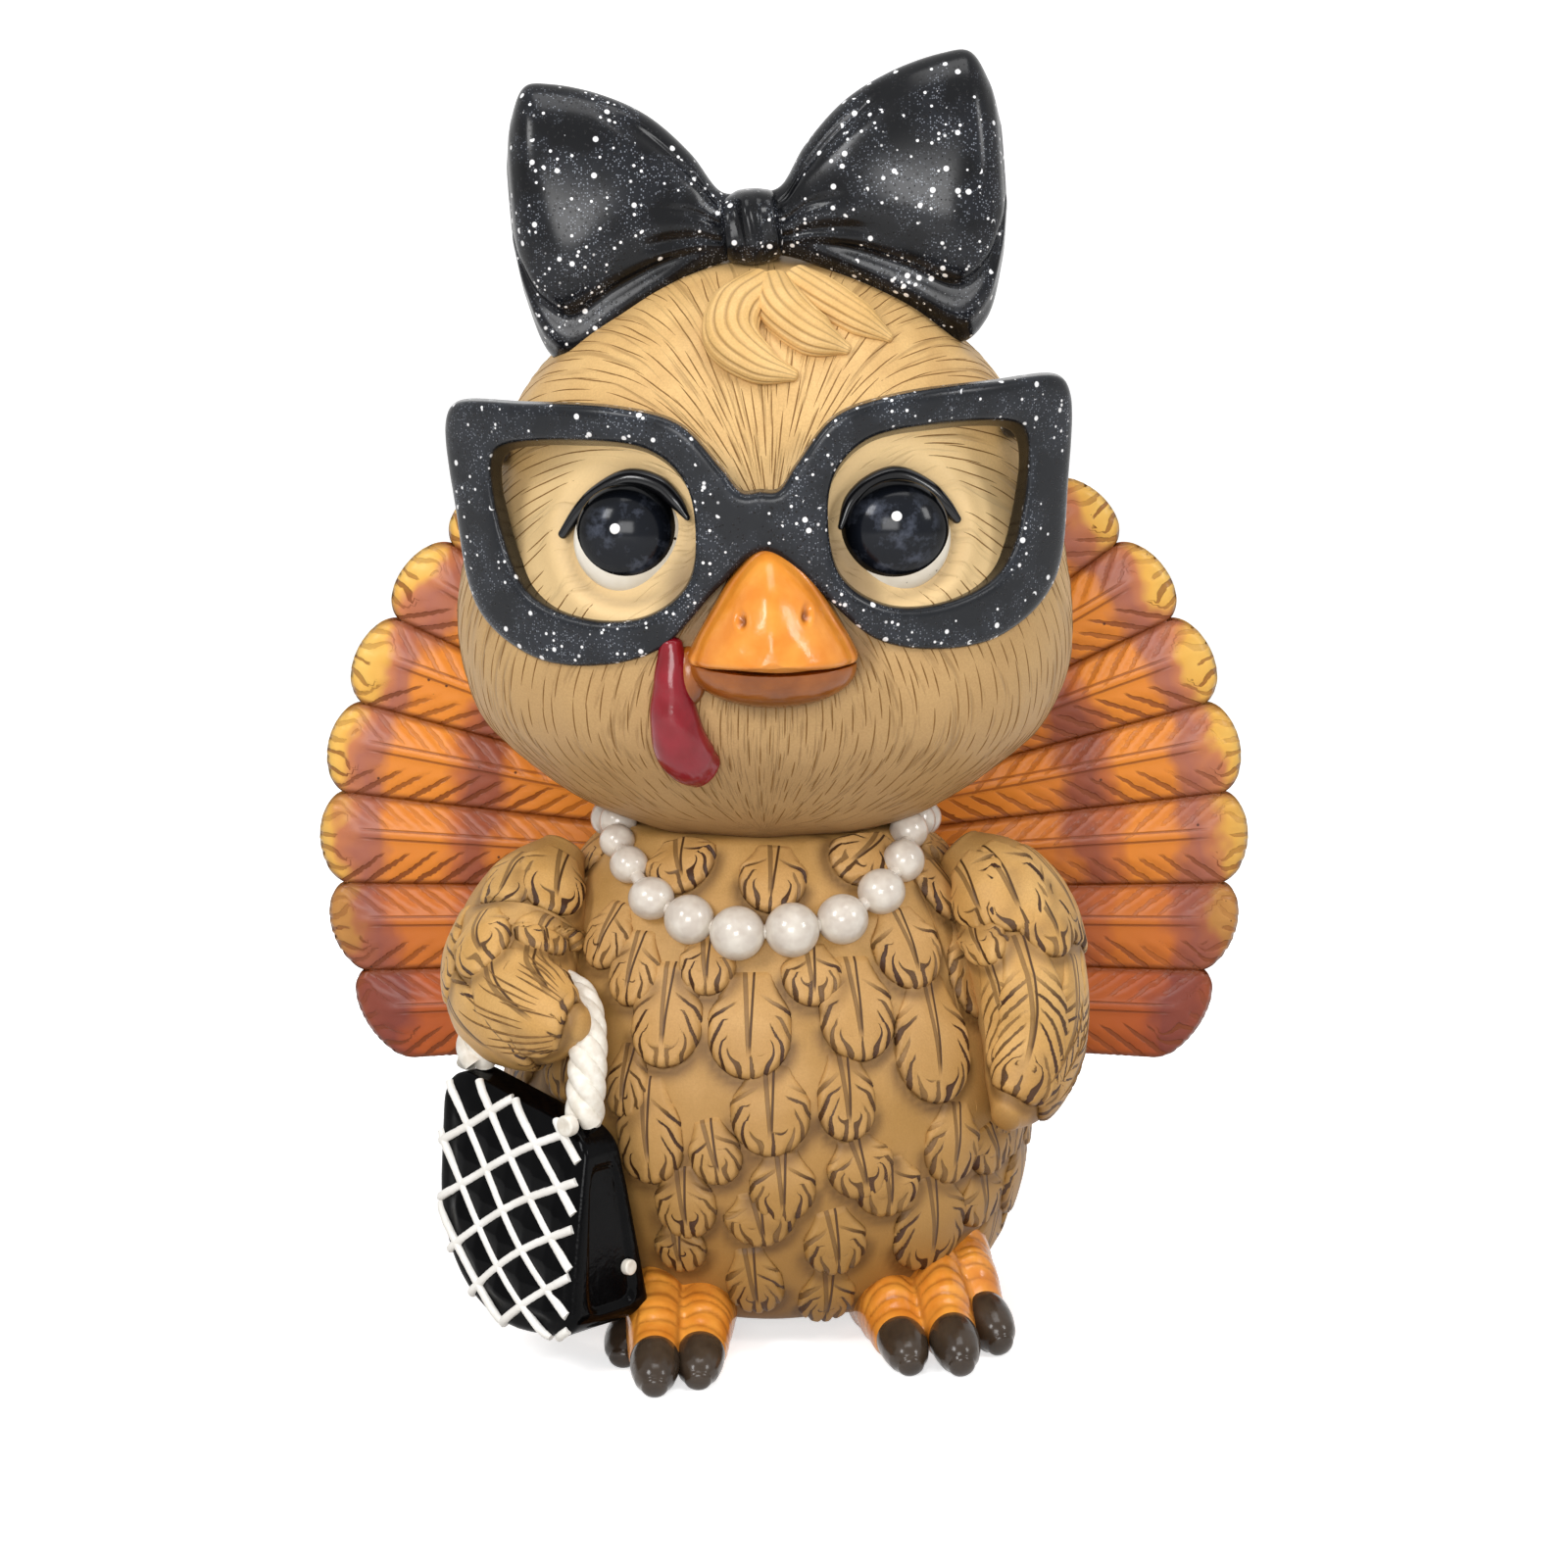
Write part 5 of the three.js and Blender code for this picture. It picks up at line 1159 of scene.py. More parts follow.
BEAK_ORANGE = washed_enamel("orange_enamel_beak", "ea983a", "de8426", "8d4d18")
LIP_ORANGE = washed_enamel("brown_orange_enamel_lip", "a65e1c", "8c4b12", "52290c")
SNOOD_RED = gloss("dark_red_enamel", "7c0f1a", "8e1826", rough=0.2, coat=0.1, shine=0.3,
                  bump=0.15)
piece("beak_upper_shell", upper_beak(), BEAK_ORANGE, "beak_orange", "beak_upper")
lower = ellipsoid((BEAK_X, FACE_Y, MOUTH_Z), (15.3, 8.8, 7.6))
corner = ellipsoid((-17.4, FACE_Y + 1.2, 132.6), (3.4, 3.2, 5.6))
roof = MOUTH_Z - 0.75 + 1.45 * ((lower.points[:, 0] - BEAK_X) / BEAK_WIDE) ** 2
over = lower.points[:, 2] - roof
lower.points[:, 2] = np.where(over > 0, roof + 0.04 * over, lower.points[:, 2])
# Painted shade: the underside of the lower lip is darkened.
for form in (lower, corner):
    form.notes["wash"] = 0.5 * (1 - step(-6.5, -4.0, form.points[:, 2:3] - MOUTH_Z))
piece("beak_lower_lip", joined([lower, corner]), LIP_ORANGE, "beak_orange", "beak_lower")
print("beak reaches", round(FACE_Y + 8 - BEAK_LONG, 1), "mm")

# %% [markdown]
# The snood is the soft red flap beside the beak: a sweep that starts thin under the glasses, swells
# as it hangs and turns towards the middle at its end.

# %%
SNOOD = [(-20.5, 138.8, 2.2), (-20.5, 131.8, 3.3), (-20.0, 124.6, 4.6), (-18.7, 119.3, 5.2),
         (-16.9, 116.4, 4.9), (-15.0, 114.6, 3.9)]
stations = [([x, float(HEAD.front(x, z)) - 0.4 * half, z], half, half * 0.85)
            for x, z, half in SNOOD]
rings, _ = Sweep(stations, (0, -1, 0)).grid(90, 60, 1.2, 2.0)
rings += 0.15 * (lumps(rings.reshape(-1, 3), 7, 2).reshape(*rings.shape[:2], 1)
                 * unit(rings - rings.mean(1, keepdims=True)))
piece("snood_drop", closed(rings), SNOOD_RED, "snood_red", "snood")
print("snood hangs to", round(float(rings[..., 2].min()), 1), "mm")

# %% [markdown]
# ## 11. The tuft
#
# Three locks of the same resin lie on the crown like commas. Grooves run their whole length:
# the ring of each station is pressed in along a few lines.

# %%
LOCKS = {
    "left": [[0, 0, .8], [-.24, .3, 1.1], [-.27, .64, 1.12], [-.03, .94, .86], [.24, 1.06, .3]],
    "middle": [[.05, 0, .8], [.16, .3, 1.05], [.42, .6, .95], [.68, .76, .28]],
    "right": [[.24, -.04, .75], [.5, .18, .92], [.8, .44, .8], [1.04, .64, .26]]}
# The third colour is the low one: a deeper tone with painted shade, low on the locks.
TAN_LOCK = tan_resin("tan_resin_tuft", "e6bf80", "d6ad6c", "cda466", (170, 186))
for hand, rows in LOCKS.items():
    stations = []
    for out, down, size in rows:
        x, z = FIGURE_X + out * 22, 202.3 - down * 15
        stations.append(([x, float(HEAD.front(x, z)) - 0.4 * 3.5 * size, z], size * 4.8,
                         size * 3.5))
    lock = Sweep(stations, (0, -1, 1))
    rings, notes = lock.grid(80, 120, 1.2, 1.0)
    middle = rings.mean(1, keepdims=True)
    waves = np.cos(notes[..., 0] * 13 + 0.8 * np.sin(notes[..., 1] * 5))
    press = -0.12 * np.clip(waves, -0.2, 1) ** 2 * np.sin(np.clip(notes[..., 1], .04, .97) * math.pi)
    rings = middle + (rings - middle) * (1 + press[..., None])
    # Painted shade with the wash: the grooves are darkened.
    dark = (np.clip(waves, 0, 1) ** 4 * 0.6)[..., None]
    piece(f"tuft_lock_{hand}", closed(rings, wash=dark), TAN_LOCK, "tan_resin",
          f"hair_lock_{hand}")
print("tuft locks:", len(LOCKS))

# %% [markdown]
# ## 12. Cat-eye glasses
#
# The frame is cut from a flat outline with two holes, then bent round the face and rolled a
# little, as it sits. A 2-D curve gives the flat plate with rounded edges; a voxel remesh makes
# its faces even, so the bend stays smooth. The holes get narrower towards the face at their top
# and outer side, so their walls show, and the walls are painted darker, as shade. The paint is
# charcoal lacquer with glitter in it.

# %%
GLASSES_OUTER = [[0, .186], [.054, .182], [.112, .272], [.242, .449], [.433, .515], [.727, .534],
                 [.965, .527], [1, .464], [.986, .124], [.927, -.268], [.761, -.433],
                 [.571, -.466], [.346, -.404], [.138, -.165], [0, -.041]]
GLASSES_INNER = [[.208, .082], [.242, .26], [.346, .369], [.571, .402], [.826, .378],
                 [.856, .33], [.837, .041], [.761, -.186], [.588, -.28], [.381, -.276],
                 [.242, -.155]]
GLASSES_Y = float(HEAD.front(GLASSES["x"], GLASSES["z"])) - 8.5
ROLL = math.radians(2.7)


def on_glasses(flat):
    """Flat places (across, up, back) to their places round the face."""
    u, w, back = flat.T
    x = u * math.cos(ROLL) - w * math.sin(ROLL)
    z = u * math.sin(ROLL) + w * math.cos(ROLL)
    y = GLASSES_Y + 0.92 * (74 - np.sqrt(74**2 - x**2)) - 0.1 * z + back
    return np.stack([GLASSES["x"] + x, y, GLASSES["z"] + z], -1)


def flat_plate(outlines, thickness, rounding, voxel):
    """A flat plate with rounded edges, from a filled 2-D curve; inner outlines are holes."""
    thing = poly_curves([np.pad(outline, ((0, 0), (0, 1))) for outline in outlines], cyclic=True)
    curve = thing.data
    curve.dimensions = "2D"
    curve.fill_mode = "BOTH"
    curve.extrude = (thickness / 2 - rounding) * MM
    curve.bevel_depth = rounding * MM
    curve.offset = -rounding * MM
    curve.bevel_resolution = 3
    return remeshed(as_mesh(thing), voxel)


def remeshed(mesh, voxel, smoothing=6):
    """The same solid with even small faces, softened; returned as a Form in millimetres."""
    thing = bpy.data.objects.new("even", mesh)
    even = thing.modifiers.new("even", "REMESH")
    even.mode, even.voxel_size = "VOXEL", voxel * MM
    soft = thing.modifiers.new("soft", "SMOOTH")
    soft.factor, soft.iterations = 0.5, smoothing
    result = as_mesh(thing)
    points = np.zeros(len(result.vertices) * 3)
    result.vertices.foreach_get("co", points)
    faces = [list(face.vertices) for face in result.polygons]
    return Form(points.reshape(-1, 3) / MM, faces).outwards()


def mirrored(outline):
    """A right half and its mirror image; points on the middle line are kept once."""
    return outline + [[-u, w] for u, w in outline[::-1] if u > 0]


scale = np.array([57.8, 48.5])
outer = evenly(np.array(mirrored(GLASSES_OUTER)) * scale, 420, closed=True)
inner = evenly(np.array(GLASSES_INNER) * scale, 200, closed=True)
PLATE_DEEP, WALL_IN, WALL_DOWN = 8.8, 2.4, 2.2
plate = flat_plate([outer, inner, inner * [-1, 1]], PLATE_DEEP, 1.5, 0.5)
flat = plate.points + [0, 0, PLATE_DEEP / 2]
folded = np.abs(flat[:, 0])


def rim_distance(outline):
    tree = KDTree(len(outline))
    for k, (u, w) in enumerate(outline):
        tree.insert((u, w, 0), k)
    tree.balance()
    return np.array([tree.find((u, w, 0))[2] for u, w in zip(folded, flat[:, 1])])


on_wall = step(-1.5, 1.5, rim_distance(outer) - rim_distance(inner))
deep = np.clip(flat[:, 2] / PLATE_DEEP, 0, 1) * on_wall
flat[:, 0] -= np.sign(flat[:, 0]) * WALL_IN * deep * step(34, 44, folded)
flat[:, 1] -= WALL_DOWN * deep * step(4, 14, flat[:, 1])
plate.points = on_glasses(flat)
plate.outwards()
# Painted shade on the walls of the holes, deepest away from the front face.
plate.notes["sheltered"] = (on_wall * step(0.8, 2.2, flat[:, 2]))[:, None]


def glitter_paint(name, base, cloud, shadow, flakes, rough=0.24):
    """Charcoal lacquer: black pits, a dust of grey flakes, and bright flakes in drifts.

    The bright flakes are 0.4 to 0.9 mm wide and the pits half a millimetre; the grey dust is
    drawn at a third of a millimetre, which is as fine as the render can show."""
    paint = Paint(name, Roughness=rough, Specular_IOR_Level=0.2)
    tree, where = paint.tree, paint.where
    clouds = noise(tree, where, 120.0, Detail=3.0)
    cloudy = remap(tree, clouds, 0.42, 0.62)
    colour = blended(tree, cloudy, base, cloud)
    covers = []
    for per_metre, size, rare in ((1150.0, 0.2, 0.3), (2600.0, 0.3, 0.62), (430.0, 0.19, flakes),
                                  (760.0, 0.19, flakes + 0.06)):
        cells = add(tree, "ShaderNodeTexVoronoi", {"Vector": where, "Scale": per_metre})
        picked = add(tree, "ShaderNodeSeparateColor", {0: cells.node.outputs["Color"]})
        if rare >= flakes:
            picked = calc(tree, "MULTIPLY_ADD", cloudy, 0.3, picked)
        there = calc(tree, "GREATER_THAN", picked, rare)
        dot = remap(tree, cells, size, size * 1.35, 1.0, 0.0)
        covers.append(calc(tree, "MULTIPLY", dot, there))
    dust = calc(tree, "MULTIPLY", covers[1], cloudy)
    colour = blended(tree, dust, colour, "7d828b")
    colour = blended(tree, covers[0], colour, "0a0a0c")
    bright = calc(tree, "MAXIMUM", covers[2], covers[3])
    colour = blended(tree, bright, colour, "f6f6f8")
    # Painted shade: the walls of the lens holes take the shadow colour.
    shaded_walls = attribute(tree, "sheltered", "value")
    return paint.coat(blended(tree, shaded_walls, colour, shadow), covers[0], 0.4, 0.0002)


GLITTER = glitter_paint("charcoal_glitter_lacquer", "1a1c20", "282b31", "0b0b0d", 0.9)
BOW_GLITTER = glitter_paint("black_glitter_lacquer", "0d0e11", "1b1d22", "070708", 0.89, 0.2)
piece("glasses_plate", plate, GLITTER, "black_glitter", "glasses_frame")
TEMPLE_LONG = 43
for name, hand in (("left", -1), ("right", 1)):
    start = on_glasses(np.array([[hand * (115.6 - 9.36) / 2, 17.46, 4.4]]))[0]
    stations = []
    for share in np.linspace(0, 1, 6):
        y = start[1] + share * TEMPLE_LONG
        z = start[2] - 0.6 * 6.4 * share
        half = HEAD.share_at(z) * HEAD.width / 2
        n = HEAD.squareness
        deep = min(abs(y - HEAD.y) / (HEAD.share_at(z) * HEAD.depth / 2), 1)
        edge = half * (1 - deep**n) ** (1 / n)
        x = HEAD.x + hand * (edge + 1.6)
        if share <= 0.3:
            x = start[0] * (1 - share / 0.3) + x * share / 0.3
        stations.append(([x, y, z], 3.2, 1.8))
    bar = closed(Sweep(stations, (hand, 0, 0)).grid(50, 32, 1.0, 2.6)[0])
    piece(f"temple_bar_{name}", bar, GLITTER, "black_glitter", f"temple_{name}")

# %% [markdown]
# ## 13. The bow
#
# Each loop is a stack of rings from inside the knot outwards that swell and close. Two creases
# run from the knot and fade, and a rolled hem follows the mouth of the loop. The knot is a small
# squarish pillow with uneven ridges.

# %%
LOOP = [[.03, .01, .1, .2], [.12, .01, .115, .22], [.228, .056, .196, .3], [.394, .084, .303, .4],
        [.589, .074, .398, .47], [.788, .042, .475, .5], [.892, .078, .44, .46],
        [.965, .114, .3, .33], [1, .13, .14, .12]]
BOW = Matrix.Translation((-6, -10, 212.3)) @ Matrix.Rotation(math.radians(-4.5), 4, "Y")
BOW = np.array(BOW)


def placed(points, matrix):
    return points @ matrix[:3, :3].T + matrix[:3, 3]


for name, hand, long in (("left", -1, 45.2), ("right", 1, 48.2)):
    rows = chain(LOOP, np.linspace(0, 1, 110))
    turns = np.arange(150) * 2 * math.pi / 150
    out, middle, high, thick = (rows[:, k:k + 1] for k in range(4))
    cos, sin = np.cos(turns)[None], np.sin(turns)[None]
    folds = (-0.22 * bell(sin - 0.48 - 0.7 * out, 0.085) * step(0.06, 0.16, out)
             * (1 - step(0.4, 0.66, out))
             - 0.1 * bell(sin - 0.1 + 0.3 * out, 0.07) * (1 - step(0.2, 0.42, out))
             - 0.12 * bell(sin + 0.42 - 0.15 * out, 0.08) * (1 - step(0.3, 0.55, out))
             + 0.03 * bell(out - 0.7, 0.25) * np.cos(sin * 5 + 1.1))
    hem = step(0.12, 0.4, out) * (0.07 * bell(sin + 0.80, 0.075) - 0.1 * bell(sin + 0.62, 0.07))
    puff = 1 + folds + hem * 1.6
    x = np.broadcast_to(hand * out * long, puff.shape)
    ball = np.stack([x, thick * 21 * cos * puff, (middle + high * sin * (1 + hem * 0.5)) * 57], -1)
    piece(f"bow_puff_{name}", closed(placed(ball.reshape(-1, 3), BOW).reshape(ball.shape)),
          BOW_GLITTER, "black_glitter", f"bow_loop_{name}")
KNOT = np.array([6.1, 8.8, 7.2])
knot = ellipsoid((0, 0, 0), (1, 1, 1), 90, 130)
knot.points = np.sign(knot.points) * np.abs(knot.points) ** 0.72 * KNOT
across, _, up = (knot.points / KNOT).T
ridge = 0.07 * np.cos(across * 2.6 * math.pi + 0.5 + 0.5 * np.sin(up * 2.2)) * (1 - up**4)
knot.points = placed(knot.points * (1 + ridge)[:, None], BOW)
piece("bow_knot_pillow", knot, BOW_GLITTER, "black_glitter", "bow_knot")
print("bow top at", round(float(knot.points[:, 2].max()), 1), "mm over the knot")

# %% [markdown]
# ## 14. Pearls
#
# Pearlescent enamel beads run round the neck on a cord and lie on the breast, the largest in
# front. Beads on a path are a job for Geometry Nodes: put a ball on each point of the path, scaled
# by the radius kept at that point and a little at random from a fixed seed, and realise them.

# %%
STRAND = [(-60, .966, 3.5), (-46, .933, 3.75), (-32.5, .88, 4.3), (-20, .848, 4.65),
          (-7, .826, 5.1), (7, .832, 5.15), (20.5, .848, 4.85), (34, .891, 4.5), (47.5, .938, 4.1),
          (62, .984, 3.8)]
STRAND += [(turn, .985 - 0.0006 * (90 - abs(turn - 180)), 3.6) for turn in range(78, 289, 15)]


def strand_path():
    """The middle of each bead, sunk a little in the breast."""
    beads = []
    for turn, rise, radius in STRAND:
        run = TORSO.run_at(TORSO.z + rise * TORSO.height)
        beads.append(TORSO.place(np.array([math.radians(turn)]), np.array([run]),
                                 0.5 * radius)[0])
    return np.array(beads)


def bead_tree():
    """Balls at the points of a path and a cord along it; each point's radius sizes its ball."""
    tree, given, names = new_group("beads_on_a_path", ("Path", "Geometry"),
                                   ("Bead radius", "Float"), ("Cord radius", "Float"),
                                   ("Paint", "Material"))
    points = add(tree, "GeometryNodeCurveToPoints", {"Curve": given.outputs["Path"]},
                 mode="EVALUATED")
    ball = add(tree, "GeometryNodeMeshUVSphere", {"Segments": 40, "Rings": 24,
                                                  "Radius": given.outputs["Bead radius"]})
    vary = add(tree, "FunctionNodeRandomValue", {
        "Min": (0.97, 0.97, 0.95), "Max": (1.03, 1.03, 1.02), "Seed": 7},
        data_type="FLOAT_VECTOR")
    share = add(tree, "GeometryNodeInputNamedAttribute", {"Name": "radius"}, data_type="FLOAT")
    sized = add(tree, "ShaderNodeVectorMath", {"Vector": vary, "Scale": share},
                operation="SCALE")
    beads = add(tree, "GeometryNodeInstanceOnPoints", {"Points": points, "Instance": ball,
                                                       "Scale": sized})
    rounds = add(tree, "GeometryNodeCurvePrimitiveCircle", {
        "Resolution": 12, "Radius": given.outputs["Cord radius"]})
    bridge = add(tree, "GeometryNodeCurveToMesh", {"Curve": given.outputs["Path"],
                                                   "Profile Curve": rounds})
    both = tree.nodes.new("GeometryNodeJoinGeometry")
    tree.links.new(beads, both.inputs[0])
    tree.links.new(bridge, both.inputs[0])
    end_group(tree, given, both.outputs[0])
    return tree, *names


MEAN_BEAD = 4.5
PEARL = gloss("pearl_enamel", "dcd4c8", "c9beb2", rough=0.24, coat=0.3, shine=0.5,
              spot_size=0.003, bump=0.1)
BEADS, BEAD_SIZE, CORD_SIZE, BEAD_PAINT = bead_tree()
guide = poly_curves([strand_path()], cyclic=True)
for point, (_, _, radius) in zip(guide.data.splines[0].points, STRAND):
    point.radius = radius / MEAN_BEAD
through_nodes("pearl_string", guide, BEADS,
              {BEAD_SIZE: MEAN_BEAD * MM, CORD_SIZE: 1.4 * MM, BEAD_PAINT: PEARL}, "pearl",
              "pearl_strand")

# %% [markdown]
# ## 15. The purse
#
# A quilted bag in patent black: its flat outline is filled with rings from the middle out, so
# the quilting can be pressed in as a height, and the sides bulge. White piping runs along the seams
# and over the edge. The handle is a twisted rope: four wound lines, each swept by Geometry Nodes.

# %%
PURSE = np.array(Matrix.Translation((-48.0, -39.5, 51.2))
                 @ Matrix.Rotation(math.radians(-41), 4, "Z")
                 @ Matrix.Rotation(math.radians(-4), 4, "Y"))
PURSE_HALF, PURSE_THICK, PURSE_DROP = 18.5, 23.0, 43.0


def purse_outline(inset, count=200):
    """Round the bag's side view (across, down is negative), pulled in by an inset."""
    corners = [((-1, -1), 25, 24), ((1, -1), 5, 5), ((1, 1), 5, 5), ((-1, 1), 7, 7)]
    low, high = -PURSE_DROP + inset, -inset
    wide = PURSE_HALF - inset
    path = []
    starts = {(-1, -1): 180, (1, -1): 270, (1, 1): 0, (-1, 1): 90}
    for (sx, sz), rx, rz in corners:
        rx, rz = max(rx - inset, 1), max(rz - inset, 1)
        cx = sx * (wide - rx)
        cz = (low + rz) if sz < 0 else (high - rz)
        for a in np.linspace(0, 90, 14):
            t = math.radians(starts[(sx, sz)] + a)
            path.append([cx + rx * math.cos(t), cz + rz * math.sin(t)])
    return spaced(np.array(path + path[:1]), count, True)


def warped(points):
    """The bag is thinner towards its top, and its top slopes."""
    x, y, z = points.T
    down = -z / PURSE_DROP
    y = y * (0.34 + 0.66 * np.maximum(down, 0) ** 0.85)
    return np.stack([x, y, z - 0.3 * x * (1 - down)], -1)


PIPE_PITCH = 10.4


def lattice(x, z):
    """Two values that are whole on the seams: one falls across the bag, the other climbs."""
    wave = 0.8 * np.sin(z / 6.0) + 0.5 * np.sin(x / 4.6 + 1.0)
    return (z + 1.02 * x + wave) / PIPE_PITCH, (z - 0.7 * x - 0.7 * wave) / PIPE_PITCH


def quilt(x, z):
    """Distance in millimetres to the nearest seam."""
    a, b = lattice(x, z)
    return np.minimum(np.abs(a - np.round(a)) / 1.43, np.abs(b - np.round(b)) / 1.22) * PIPE_PITCH


EDGE_ROUND = 2.4


def slice_at(flat, y):
    """A ring of the bag: a flat outline at one depth, or at a depth for each point."""
    return np.stack([flat[:, 0], np.broadcast_to(y, len(flat)), flat[:, 1]], -1)


def purse_form():
    """Rings from the middle of the face, over the edge, along the sides and over the back."""
    rings = []
    full = purse_outline(EDGE_ROUND)
    centre = full.mean(0)
    front, back = -PURSE_THICK / 2, PURSE_THICK / 2
    for share in np.r_[0.02, np.linspace(0.06, 0.985, 46)]:
        flat = centre + (full - centre) * share
        edge = np.linalg.norm(flat - full, axis=1)
        pillow = 1.5 * np.sqrt(np.minimum(quilt(*flat.T) / 3.4, 1)) * step(0.5, 4, edge)
        rings.append(slice_at(flat, front - pillow))
    for a in np.linspace(0, math.pi / 2, 7)[1:]:
        flat = purse_outline(EDGE_ROUND * (1 - math.sin(a)))
        rings.append(slice_at(flat, front + EDGE_ROUND * (1 - math.cos(a))))
    flat = purse_outline(0.0)
    for y in np.linspace(front + EDGE_ROUND, back - EDGE_ROUND, 34)[1:-1]:
        panel = (np.abs(y) / 7.0) ** 6 + ((flat[:, 1] + 23) / 15.5) ** 6
        sunk = 0.8 * step(14, 17, flat[:, 0]) * (1 - step(0.75, 1.25, panel))
        rings.append(slice_at(flat - np.stack([sunk, 0 * sunk], -1), y))
    for a in np.linspace(math.pi / 2, 0, 7)[:-1]:
        flat = purse_outline(EDGE_ROUND * (1 - math.sin(a)))
        rings.append(slice_at(flat, back - EDGE_ROUND * (1 - math.cos(a))))
    for share in np.linspace(0.97, 0.03, 12):
        rings.append(slice_at(centre + (full - centre) * share, back))
    rings = np.array(rings)
    return closed(placed(warped(rings.reshape(-1, 3)), PURSE).reshape(rings.shape))


PATENT = gloss("black_patent_enamel", "020203", "060607", rough=0.13, shine=0.06, bump=0.1)
ROPE_WHITE = gloss("white_enamel_rope", "eee9df", "dcd4c6", rough=0.42, spot_size=0.002,
                   bump=0.3)
PIPING_WHITE = gloss("white_enamel_piping", "f6f4f0", "ebe8e2", rough=0.3, bump=0.2)
piece("purse_quilted_bag", purse_form(), PATENT, "purse_black", "purse_body")


def seam_lines():
    """The seams on the bag's face and over its rounded edge: where a lattice value is whole."""
    lines = []
    edge = purse_outline(0.0)
    heights = np.linspace(-PURSE_DROP, 0, 500)
    for family in (0, 1):
        for whole in range(-7, 5):
            run = []
            for x in np.linspace(-PURSE_HALF, PURSE_HALF - 1.5, 130):
                value = lattice(x, heights)[family] - whole
                cross = np.flatnonzero(np.diff(np.sign(value)) != 0)
                if len(cross):
                    near = inside((x, heights[cross[0]]), edge)
                    if near > 0.15:
                        over = EDGE_ROUND - min(near, EDGE_ROUND)
                        fall = EDGE_ROUND - math.sqrt(EDGE_ROUND**2 - over**2)
                        run.append([x, -PURSE_THICK / 2 - 0.2 + fall, heights[cross[0]]])
            if len(run) > 6:
                lines.append(np.array(run))
    return lines


def inside(point, outline):
    """How far a point is inside an outline, or -1 outside it."""
    x, z = point
    a, b = outline, np.roll(outline, -1, 0)
    tall = np.where(b[:, 1] == a[:, 1], 1e-9, b[:, 1] - a[:, 1])
    crosses = ((a[:, 1] > z) != (b[:, 1] > z)) & (
        x < (b[:, 0] - a[:, 0]) * (z - a[:, 1]) / tall + a[:, 0])
    near = np.linalg.norm(outline - point, axis=1).min()
    return near if crosses.sum() % 2 == 1 else -1.0


def rope_tree():
    """Round strands along the curves of a path, with closed ends."""
    tree, given, names = new_group("wound_strands", ("Path", "Geometry"),
                                   ("Strand radius", "Float"), ("Paint", "Material"))
    rounds = add(tree, "GeometryNodeCurvePrimitiveCircle", {
        "Resolution": 14, "Radius": given.outputs["Strand radius"]})
    swept = add(tree, "GeometryNodeCurveToMesh", {"Curve": given.outputs["Path"],
                                                  "Profile Curve": rounds, "Fill Caps": True})
    end_group(tree, given, swept)
    return tree, *names


STRANDS, STRAND_SIZE, STRAND_PAINT = rope_tree()
pipes = [placed(warped(line), PURSE) for line in seam_lines()]
through_nodes("purse_white_piping", poly_curves(pipes), STRANDS,
              {STRAND_SIZE: 0.85 * MM, STRAND_PAINT: PIPING_WHITE}, "rope_white", "purse_body")

handle = []
for i in range(11):
    t = math.pi * i / 10
    across, rise = 14 * math.cos(t) + 1.6 * math.sin(2 * t), math.sin(t)
    handle.append([across, 9.5 * rise**2, 0.3 - 0.3 * across * (1 - rise) + 18.5 * rise])
handle = evenly(handle, 400)
along = unit(np.gradient(handle, axis=0))
side = unit(np.cross(along, [0, 1.0, 0.001]))
up = np.cross(side, along)
strands = []
for k in range(4):
    wind = np.linspace(0, 2 * math.pi * 3.6, 400) + k * math.pi / 2
    strands.append(placed(handle + 1.75 * (side * np.cos(wind)[:, None]
                                           + up * np.sin(wind)[:, None]), PURSE))
through_nodes("purse_rope_handle", poly_curves(strands), STRANDS,
              {STRAND_SIZE: 2.0 * MM, STRAND_PAINT: ROPE_WHITE}, "rope_white", "purse_handle")


def button(name, node, centre, radius, deep, way):
    """A low rounded button: rings that swell and flatten along its axis."""
    way = unit(np.array(way, float))
    a = unit(np.cross(way, [0, 0, 1.0]))
    b = np.cross(a, way)
    rings = []
    for share in np.linspace(-1, 1, 24):
        lift = math.sin(share * math.pi / 2)
        size = radius * (1 - abs(share) ** 5) ** 0.5 if abs(share) < 1 else radius * 0.05
        turns = np.arange(48) * 2 * math.pi / 48
        dish = 0.0 if share < 0 else -0.25 * deep * max(0, 0.55 - size / radius)
        rings.append(np.array(centre) + way * (lift * deep / 2 + dish)
                     + max(size, 0.05) * (a * np.cos(turns)[:, None] + b * np.sin(turns)[:, None]))
    rings = np.array(rings)
    points = placed(rings.reshape(-1, 3), PURSE).reshape(rings.shape)
    piece(name, closed(points), ROPE_WHITE, "rope_white", node)


button("purse_handle_stud", "handle_stud", (15.2, -5.6, -3.4), 2.0, 2.4, (0, -1, 0))
button("purse_end_snap", "purse_snap", (18.4, 5.06, -32.25), 1.5, 1.6, (1, 0, 0))

# %% [markdown]
# ## 16. Feet and claws
#
# Each foot is three fat toes and a sole in glossy orange, with soft knuckles and fine creases
# across the toes. The toes are sweeps; a voxel remesh melts them into one foot, and then the
# creases are pressed in by the distance along the nearest toe. The blunt dark claws stay separate.

# %%
TOES = {
    "left": {"middle": ([-.5, .62], [-.483, 1.571], 1), "inner": ([-.267, .62], [-.295, 1.464], .94),
             "outer": ([-.524, .524], [-.645, 1.15], .94)},
    "right": {"inner": ([.502, .524], [.655, 1.271], 1),
              "middle": ([.752, .476], [.881, 1.286], 1.1),
              "outer": ([.871, .429], [1.071, .988], 1.18)}}


